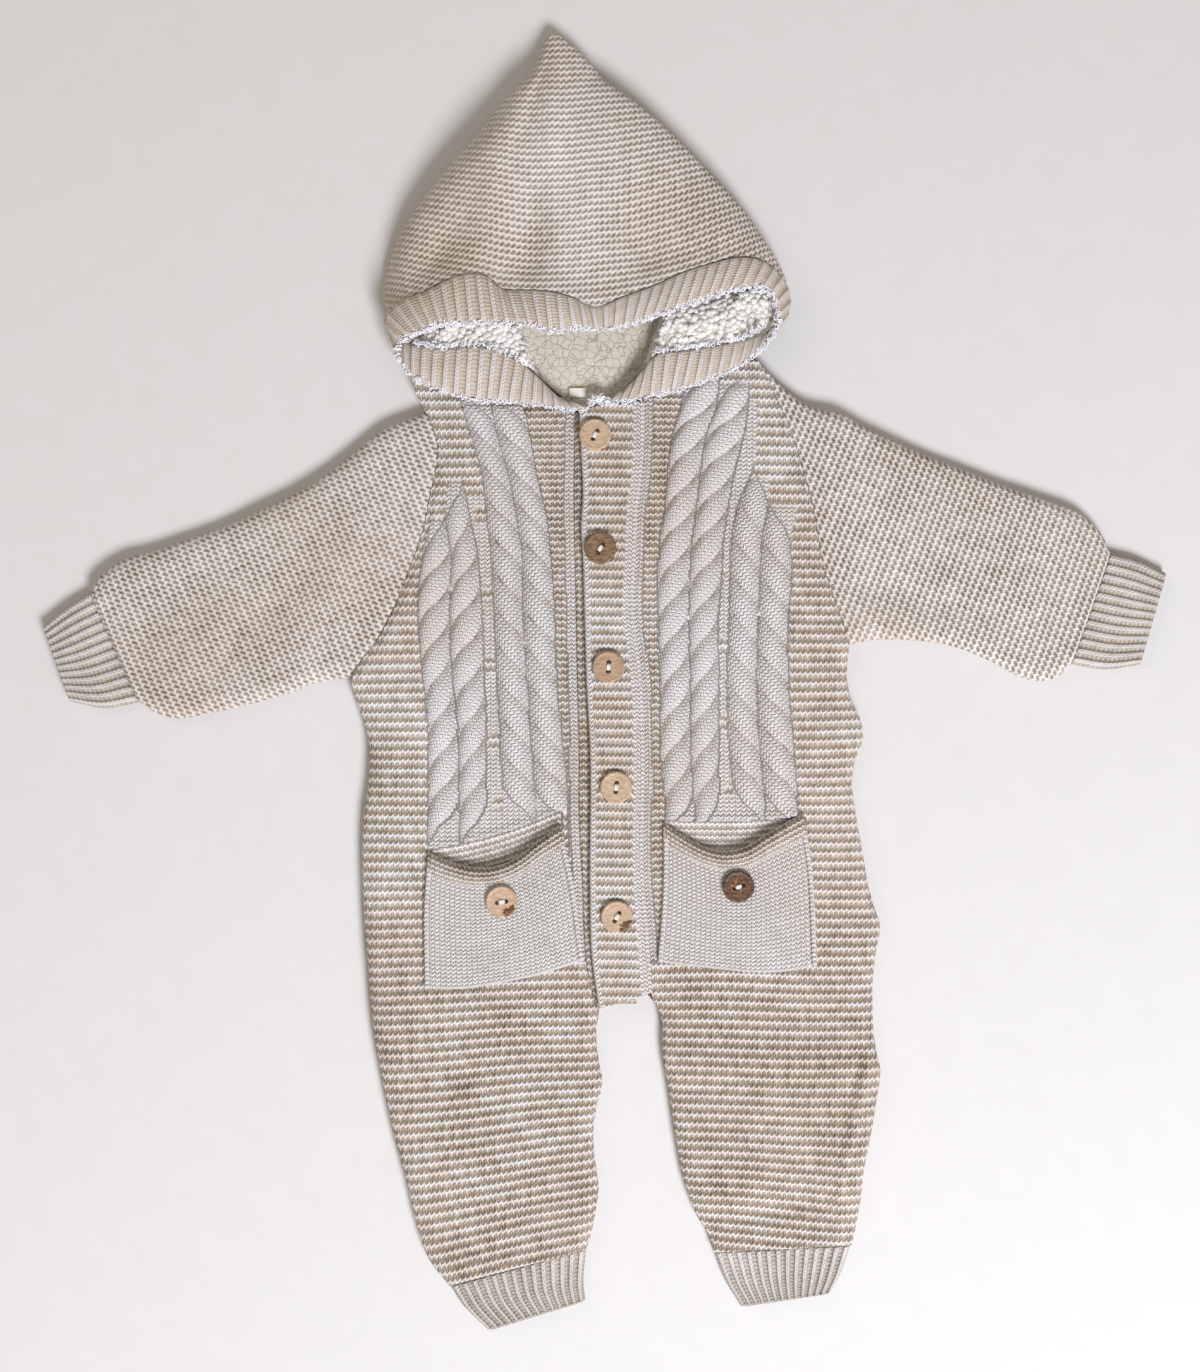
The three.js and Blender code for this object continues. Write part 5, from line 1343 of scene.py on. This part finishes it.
lightWood = [(0.2, "#9f866c"), (0.5, "#c6aa8d"), (0.8, "#d8c1a8")]
brownWood = [(0.2, "#513a28"), (0.5, "#806347"), (0.8, "#a88c6c")]
mediumWood = [(0.2, "#8a7056"), (0.5, "#b39778"), (0.8, "#c9b094")]
darkWood = [(0.2, "#2f2017"), (0.48, "#5a4130"), (0.8, "#9a7b5e")]
button = {
    "radius": 9.0, "height": 3.2, "dish": 0.22, "hole": 1.25, "holeGap": 5.0, "sides": 72,
    "thread": 0.42, "turns": 3, "threadSteps": 14,
}
buttons = {
    # place, turn in degrees, "on" for the height of what it lies on, and [x, y, radius] of its bark
    "button1": {"node": "button_1", "at": (-5, 139), "turn": 62, "on": 15.4,
                "wood": lightWood, "bark": None},
    "button2": {"node": "button_2", "at": (-2, 75.5), "turn": 60, "on": 15.4,
                "wood": brownWood, "bark": None},
    "button3": {"node": "button_3", "at": (2.5, 9), "turn": 86, "on": 15.4,
                "wood": mediumWood, "bark": None},
    "button4": {"node": "button_4", "at": (6.8, -58.5), "turn": 84, "on": 15.4,
                "wood": lightWood, "bark": None},
    "button5": {"node": "button_5", "at": (7.2, -131), "turn": 60, "on": 15.4, "wood": lightWood,
                "bark": (13.5, -137.5, 5.0)},
    "pocketButtonLeft": {"node": "pocket_button_left", "at": (-57.4, -122.6), "turn": 10, "on": 14.7,
                         "wood": lightWood, "bark": (-52.5, -128.5, 4.2)},
    "pocketButtonRight": {"node": "pocket_button_right", "at": (75.4, -114.2), "turn": 20, "on": 14.7,
                          "wood": darkWood, "bark": (75.4, -114.2, 6.4)},
}


def buttonDisc(name, size):
    # a ring mesh worked out in bands round two holes: outer rim, face and hole walls
    data = bmesh.new()
    base = size["on"] + heights["gap"]
    top = base + button["height"]

    def circle(middle, radius, z, count):
        angles = np.arange(count) * 2 * math.pi / count
        return [data.verts.new((middle + radius * math.cos(a), radius * math.sin(a), z)) for a in angles]

    def bands(rings):
        for low, high in zip(rings, rings[1:]):
            for i in range(len(low)):
                j = (i + 1) % len(low)
                data.faces.new((low[i], low[j], high[j], high[i]))
        return rings
    # [how far inside the rim, height] from the base to the face
    profile = [
        (0.9, base), (0.2, base + 0.5), (0.0, base + 1.4), (0.12, top - 0.7), (0.55, top - 0.15),
        (1.1, top), (1.9, top - button["dish"]),
    ]
    rings = bands([circle(0.0, button["radius"] - inset, z, button["sides"]) for inset, z in profile])
    face, hole = top - button["dish"], button["hole"]
    walls = []
    for middle in (-button["holeGap"] / 2, button["holeGap"] / 2):
        rounds = [(hole + 0.35, face), (hole, face - 0.4), (hole, base)]
        walls.append(bands([circle(middle, r, z, button["sides"] // 3) for r, z in rounds]))

    def plate(outer, left, right):
        # the face between the rim and the holes
        edges = []
        for ring in (outer, left, right):
            for i in range(len(ring)):
                pair = (ring[i], ring[(i + 1) % len(ring)])
                edges.append(data.edges.get(pair) or data.edges.new(pair))
        bmesh.ops.triangle_fill(data, use_beauty=True, edges=edges)
    plate(rings[-1], walls[0][0], walls[1][0])
    plate(rings[0], walls[0][-1], walls[1][-1])
    bmesh.ops.recalc_face_normals(data, faces=data.faces)
    turn = math.radians(size["turn"])
    for vert in data.verts:
        x, y, z = vert.co
        vert.co = ((size["at"][0] + x * math.cos(turn) - y * math.sin(turn)) * mm + shiftX,
                   (size["at"][1] + x * math.sin(turn) + y * math.cos(turn)) * mm + shiftY, z * mm)
    mesh = bpy.data.meshes.new(name)
    data.to_mesh(mesh)
    data.free()
    for face in mesh.polygons:
        face.use_smooth = abs(face.normal.z) < 0.9
    return newObject(name, mesh)


def tubeAlong(points, radius, sides=8):
    # rings of points round a line
    points = np.array(points, float)
    along = np.gradient(points, axis=0)
    along /= np.linalg.norm(along, axis=1)[:, None]
    up = np.array([0.0, 0.0, 1.0])
    flat = np.cross(along, up)
    flat /= np.maximum(np.linalg.norm(flat, axis=1), 1e-6)[:, None]
    third = np.cross(flat, along)
    angle = np.arange(sides) * 2 * math.pi / sides
    around = np.cos(angle)[:, None] * flat[:, None] + np.sin(angle)[:, None] * third[:, None]
    return points[:, None] + around * radius


def buttonThread(name, size):
    # turns of thread between the holes, side by side
    cloth = Cloth()
    turn = math.radians(size["turn"])
    top = size["on"] + heights["gap"] + button["height"] - button["dish"]
    half = button["holeGap"] / 2
    share = shares(button["threadSteps"])
    for k in range(button["turns"]):
        side = (k - 1) * button["thread"] * 1.7
        run = mix(-half + 0.75, half - 0.75, share)
        lift = top + 0.6 * np.sin(np.pi * share) ** 0.5 - 2.4 * np.abs(2 * share - 1) ** 8
        squeeze = 0.55 + 0.45 * np.sin(np.pi * share)
        x = size["at"][0] + run * math.cos(turn) - side * squeeze * math.sin(turn)
        y = size["at"][1] + run * math.sin(turn) + side * squeeze * math.cos(turn)
        cloth.closedTube(cloth.grid(tubeAlong(joined(x, y, lift), button["thread"]), np.zeros(2)))
    return cloth.mesh(name + "Thread", threadWhite)


threadWhite = threadMaterial()
threads = []
for place, (name, size) in enumerate(buttons.items(), 1):
    pieces[name] = buttonDisc(name, size)
    wood = woodMaterial("coconutShellPolished" + str(place), size["wood"], size["bark"], place)
    pieces[name].data.materials.append(wood)
    threads.append(buttonThread(name, size))
print("buttons turned and sewn on")

label = {
    "at": (-14.8, 163.4, 12.2), "size": (9.5, 5.0, 0.7), "bow": 0.25, "tilt": 0.07,
    "rows": 10, "columns": 18, "coarse": 2,
}


def sizeLabel():
    # a bare folded tape: a thin strip that bows a little
    u, v = evenGrid(label["rows"], label["columns"])
    atX, atY, atZ = label["at"]
    wide, long, thick = label["size"]
    x, y = atX + (u - 0.5) * wide, atY + (0.5 - v) * long
    z = atZ + thick / 2 + label["bow"] * np.sin(np.pi * u) + (y - atY) * label["tilt"]
    return slab("sizeLabel", wovenTape, joined(x, y, z), joined(x, y),
                lambda points: points - np.array([0.0, 0.0, thick]), label["coarse"])


wovenTape = tapeMaterial()
pieces["sizeLabel"] = sizeLabel()


# What repeats: frizz along the band's edge, curls on the pile, and chains of stitches

def newTree(name, sizes):
    # a geometry tree whose named inputs hold its sizes
    tree = bpy.data.node_groups.new(name, "GeometryNodeTree")
    tree.interface.new_socket("Geometry", in_out="INPUT", socket_type="NodeSocketGeometry")
    tree.interface.new_socket("Geometry", in_out="OUTPUT", socket_type="NodeSocketGeometry")
    for label, value in sizes.items():
        kind = "NodeSocketInt" if isinstance(value, int) else "NodeSocketFloat"
        tree.interface.new_socket(label, in_out="INPUT", socket_type=kind)
    return tree, tree.nodes.new("NodeGroupInput").outputs


def closeTree(tree, geometry, material):
    solid = fromNode(tree, "GeometryNodeRealizeInstances", (geometry,))
    smooth = fromNode(tree, "GeometryNodeSetShadeSmooth", {"Geometry": solid})
    dyed = fromNode(tree, "GeometryNodeSetMaterial", {"Geometry": smooth, "Material": material})
    addNode(tree, "NodeGroupOutput", (dyed,))


def grown(name, data, tree, sizes):
    # the tree's result on a mesh, as a plain mesh of its own
    base = newObject(name + "Base", data)
    modifier = base.modifiers.new(name, "NODES")
    modifier.node_group = tree
    for item in tree.interface.items_tree:
        if item.in_out == "INPUT" and item.name in sizes:
            modifier[item.identifier] = sizes[item.name]
    ready = base.evaluated_get(bpy.context.evaluated_depsgraph_get())
    plain = bpy.data.meshes.new_from_object(ready)
    base.modifiers.remove(modifier)
    bpy.data.objects.remove(base)
    plain.name = name
    return newObject(name, plain)


def pathMesh(name, *paths):
    # open lines of points in millimetres, as edges
    points, edges = [], []
    for path in paths:
        first = len(points)
        points += [tuple(place) for place in inScene(path)]
        edges += [(i, i + 1) for i in range(first, len(points) - 1)]
    data = bpy.data.meshes.new(name)
    data.from_pydata(points, edges, [])
    return data


def alongLine(tree, mesh, spacing):
    # points at even steps along the lines of a mesh
    curve = fromNode(tree, "GeometryNodeMeshToCurve", (mesh,))
    return addNode(tree, "GeometryNodeCurveToPoints", {"Curve": curve, "Length": spacing}, mode="LENGTH")


def instanced(tree, points, instance, rotation, scale=None):
    inputs = {"Points": points, "Instance": instance, "Rotation": rotation, "Scale": scale}
    return fromNode(tree, "GeometryNodeInstanceOnPoints", inputs)


def chanceVector(tree, low, high, seed):
    inputs = {"Min": low, "Max": high, "Seed": seed}
    return fromNode(tree, "FunctionNodeRandomValue", inputs, data_type="FLOAT_VECTOR")


frizz = {"Spacing": 0.0004, "Loop": 0.0011, "Yarn": 0.0004, "Spread": 0.00135, "Seed": 4}
frizzWhite = fluffMaterial("frizzWhiteYarnEnds", [(0.25, "#e4e1e4"), (0.55, "#fafafd")])


def frizzTree():
    # small loops strewn along a line
    tree, sizes = newTree("frizzAlongLine", frizz)
    points = alongLine(tree, sizes["Geometry"], sizes["Spacing"]).outputs[0]
    less = follow(tree, sizes["Spread"], ("MULTIPLY", -1.0))
    jump = chanceVector(tree, less, sizes["Spread"], sizes["Seed"])
    strewn = fromNode(tree, "GeometryNodeSetPosition", {"Geometry": points, "Offset": jump})
    ring, yarn = [fromNode(tree, "GeometryNodeCurvePrimitiveCircle", {"Resolution": count, "Radius": radius})
                  for count, radius in ((8, sizes["Loop"]), (3, sizes["Yarn"]))]
    loop = fromNode(tree, "GeometryNodeCurveToMesh", {"Curve": ring, "Profile Curve": yarn})
    turn = chanceVector(tree, (0, 0, 0), (6.28, 6.28, 6.28), sizes["Seed"])
    grow = fromNode(tree, "FunctionNodeRandomValue", {2: 0.6, 3: 1.3, "Seed": sizes["Seed"]}, 1)
    closeTree(tree, instanced(tree, strewn, loop, turn, grow), frizzWhite)
    return tree


curls = {"Apart": 0.0026, "Curl": 0.0019, "Flat": 0.6, "Rough": 0.0015, "From": 0.12, "Seed": 11}
pileWhite = fluffMaterial("sherpaCurlTips", [(0.3, "#d9d5cc"), (0.5, "#efede8"), (0.7, "#fafafa")])


def curlTree():
    # soft curls on the side of the pile that shows
    tree, sizes = newTree("curlsOnPile", curls)
    normal = fromNode(tree, "GeometryNodeInputNormal")
    up = addNode(tree, "ShaderNodeSeparateXYZ", (normal,)).outputs[2]
    cheek = fromNode(tree, "GeometryNodeInputNamedAttribute", {"Name": "cable"}, data_type="FLOAT")
    shown = fromNode(tree, "FunctionNodeCompare", {0: up, 1: -0.1}, operation="GREATER_THAN")
    side = fromNode(tree, "FunctionNodeCompare", {0: cheek, 1: sizes["From"]}, operation="GREATER_THAN")
    shown = fromNode(tree, "FunctionNodeBooleanMath", (shown, side), operation="AND")
    spread = addNode(tree, "GeometryNodeDistributePointsOnFaces",
                     {"Mesh": sizes["Geometry"], "Selection": shown, "Distance Min": sizes["Apart"],
                      "Density Max": 400000.0, "Seed": sizes["Seed"]}, distribute_method="POISSON")
    ball = fromNode(tree, "GeometryNodeMeshIcoSphere", {"Radius": sizes["Curl"], "Subdivisions": 2})
    squash = fromNode(tree, "ShaderNodeCombineXYZ", (1.0, 1.0, sizes["Flat"]))
    curl = fromNode(tree, "GeometryNodeTransform", {"Geometry": ball, "Scale": squash})
    grow = fromNode(tree, "FunctionNodeRandomValue", {2: 0.75, 3: 1.25, "Seed": sizes["Seed"]}, 1)
    placed = instanced(tree, spread.outputs["Points"], curl, spread.outputs["Rotation"], grow)
    solid = fromNode(tree, "GeometryNodeRealizeInstances", (placed,))
    rough = fromNode(tree, "ShaderNodeTexNoise", {"Scale": 420.0, "Detail": 2.0}, "Color")
    middle = fromNode(tree, "ShaderNodeVectorMath", {0: rough, 1: (0.5, 0.5, 0.5)}, operation="SUBTRACT")
    shift = fromNode(tree, "ShaderNodeVectorMath", {0: middle, "Scale": sizes["Rough"]}, operation="SCALE")
    bent = fromNode(tree, "GeometryNodeSetPosition", {"Geometry": solid, "Offset": shift})
    closeTree(tree, bent, pileWhite)
    return tree


chain = {"Stitch": 0.0025, "Leg": 0.0015, "Slim": 0.5, "Open": 0.0004, "Lean": 0.42}


def chainTree():
    # a column of V stitches along a line
    tree, sizes = newTree("chainAlongLine", chain)
    points = alongLine(tree, sizes["Geometry"], sizes["Stitch"])
    slim = fromNode(tree, "ShaderNodeCombineXYZ", (sizes["Slim"], 1.0, sizes["Slim"]))
    ball = fromNode(tree, "GeometryNodeMeshIcoSphere", {"Radius": sizes["Leg"], "Subdivisions": 2})
    legs = []
    for side in (1.0, -1.0):
        opened, leaning = [follow(tree, sizes[label], ("MULTIPLY", factor))
                           for label, factor in (("Open", side), ("Lean", -side))]
        away = fromNode(tree, "ShaderNodeCombineXYZ", (opened, 0.0, 0.0))
        lean = fromNode(tree, "ShaderNodeCombineXYZ", (0.0, 0.0, leaning))
        moves = {"Geometry": ball, "Translation": away, "Rotation": lean, "Scale": slim}
        legs.append(fromNode(tree, "GeometryNodeTransform", moves))
    both = tree.nodes.new("GeometryNodeJoinGeometry")
    for leg in legs:
        tree.links.new(leg, both.inputs[0])
    facing = fromNode(tree, "FunctionNodeAlignRotationToVector", {"Vector": points.outputs["Tangent"]},
                      axis="Y", pivot_axis="Z")
    closeTree(tree, instanced(tree, points.outputs[0], both.outputs[0], facing), plyWhite)
    return tree


plyWhite = fluffMaterial("chainStitchOatmealYarn", [(0.3, "#b8a791"), (0.5, "#d6d1cc"), (0.7, "#e6e5ea")])
trimLines = {
    "bandSteps": 260,
    # [x, y, z] of loose ends where the band meets at the neck, and the step to a second line of them
    "neck": [[-8.5, 157.5, 18], [-6, 160, 18.4], [-3, 158.5, 18.6], [0, 159.5, 18.6], [3, 158, 18]],
    "neckStep": [1, -1.2, -0.6],
    # from and to in x, where the pile's cut edge shows below the band
    "cuts": ((-106, -46), (30, 88)), "cutSteps": 30, "cutHeight": 22.6,
    "bandChain": (157, -173, 120), "bandChainHeight": 12.7,
    "pocketChain": (0.06, 0.98, 40), "pocketChainInset": 1.7, "pocketChainHeight": 15.0,
}


def frizzLines():
    count = trimLines["bandSteps"]
    neck = np.array(trimLines["neck"])
    paths = [bandAt(np.linspace(0, bandKeys[-1], count), np.ones(count)), neck, neck + trimLines["neckStep"]]
    for low, high in trimLines["cuts"]:
        x = np.linspace(low, high, trimLines["cutSteps"])
        paths.append(joined(x, byPlace(lining["start"])(x) + 0.8, np.full_like(x, trimLines["cutHeight"])))
    return pathMesh("bandEdge", *paths)


def chainLines():
    y = np.linspace(*trimLines["bandChain"])
    paths = [joined(line["rightEdge"](y)[..., 0] - 0.4, y, np.full_like(y, trimLines["bandChainHeight"]))]
    for size in pockets.values():
        for edge, side in (("left", 1), ("right", -1)):
            path = curveThrough(size[edge])(np.linspace(*trimLines["pocketChain"]))
            path[:, 0] += side * trimLines["pocketChainInset"]
            paths.append(joined(path[:, 0], path[:, 1], np.full(len(path), trimLines["pocketChainHeight"])))
    return pathMesh("chainLines", *paths)


trims = [
    grown("bandFrizz", frizzLines(), frizzTree(), frizz),
    grown("cheekCurls", pieces["hoodLining"].data, curlTree(), curls),
    grown("edgeChains", chainLines(), chainTree(), chain),
]
print("frizz, curls and chains added")


# The stage, the light and the camera

stageLook = {"floor": "#dfddda", "half": 4.0}
camera = {
    # straight above the middle of the photograph: its middle on the drawing, and its scale
    "middle": (-2.25, -1.7), "above": 1.3, "level": 12.0, "pixel": 0.5625, "long": 1372, "sensor": 36.0,
}
lights = {
    "key": {"at": (0.75, -1.5, 1.75), "size": 0.9, "power": 66, "color": "#f4f5ff"},
    "fill": {"at": (-1.7, 1.2, 1.9), "size": 1.8, "power": 9, "color": "#fff0de"},
}


def buildStage():
    half = stageLook["half"]
    data = bpy.data.meshes.new("floor")
    corners = [(-half, -half, 0), (half, -half, 0), (half, half, 0), (-half, half, 0)]
    data.from_pydata(corners, [], [(0, 1, 2, 3)])
    floor = newObject("floor", data)
    floor.location.z = -0.0002
    material, tree, where = newMaterial("matPaperFloor")
    grain = fromNode(tree, "ShaderNodeTexNoise", {"Vector": where, "Scale": 60.0, "Detail": 2.0})
    color = rampOf(tree, grain, [(0.3, "#dddbd7"), (0.7, stageLook["floor"])])
    finishMaterial(tree, color, None, Roughness=0.9)
    data.materials.append(material)
    for name, size in lights.items():
        data = bpy.data.lights.new(name, "AREA")
        data.shape = "DISK"
        data.size = size["size"]
        data.energy = size["power"]
        data.color = linear(size["color"])[:3]
        lamp = newObject(name, data)
        lamp.location = size["at"]
        lamp.rotation_euler = (-Vector(size["at"])).to_track_quat("-Z", "Y").to_euler()
    world = bpy.data.worlds.new("softStudio")
    world.use_nodes = True
    sky = world.node_tree.nodes["Background"]
    sky.inputs[0].default_value = linear("#f2ede6")
    sky.inputs[1].default_value = 0.36
    bpy.context.scene.world = world
    bpy.context.scene.view_settings.view_transform = "Standard"


def buildCamera():
    data = bpy.data.cameras.new("camera")
    wide = camera["long"] * camera["pixel"] * mm
    data.sensor_width = camera["sensor"]
    data.lens = camera["sensor"] * (camera["above"] - camera["level"] * mm) / wide
    data.dof.use_dof = False
    seat = newObject("camera", data)
    seat.location = (camera["middle"][0] * mm + shiftX, camera["middle"][1] * mm + shiftY, camera["above"])
    bpy.context.scene.camera = seat


buildStage()
buildCamera()

# What each piece is to the frame: the CAD node that it stands for, its slot, and its cut in metres

cuts = {
    # flat width and length in metres, area in square metres, slot, node
    "back": (0.31, 0.53, 0.125, "knit", "back_panel"),
    "frontLeft": (0.145, 0.513, 0.0555, "knit", "front_left"),
    "frontRight": (0.145, 0.505, 0.056, "knit", "front_right"),
    "sleeveLeft": (0.235, 0.205, 0.0362, "knit", "sleeve_left"),
    "sleeveRight": (0.25, 0.205, 0.034, "knit", "sleeve_right"),
    "sleeveCuffLeft": (0.132, 0.033, None, "rib", "sleeve_cuff_left"),
    "sleeveCuffRight": (0.138, 0.034, None, "rib", "sleeve_cuff_right"),
    "legCuffLeft": (0.146, 0.03, None, "rib", "leg_cuff_left"),
    "legCuffRight": (0.14, 0.03, None, "rib", "leg_cuff_right"),
    "hoodShell": (0.45, 0.18, 0.052, "hood_knit", "hood_shell"),
    "hoodBand": (0.53, 0.0175, None, "rib", "hood_band"),
    "hoodLining": (0.205, 0.066, 0.0092, "pile", "hood_lining"),
    "placketOver": (0.0335, 0.34, None, "knit", "placket_over"),
    "placketUnder": (0.028, 0.32, None, "knit", "placket_under"),
    "pocketLeft": (0.09, 0.09, 0.0062, "knit", "pocket_left"),
    "pocketRight": (0.088, 0.085, 0.0063, "knit", "pocket_right"),
    "sizeLabel": (0.01, 0.01, 0.00006, "label_tape", "size_label"),
}
for name, (*_, slot, node) in cuts.items():
    piece = pieces[name]
    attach(piece, "root")
    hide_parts(node)
for name, size in buttons.items():
    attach(pieces[name], "root")
    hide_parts(size["node"])
for piece in threads + trims:
    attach(piece, "root")

print("romper laid out")
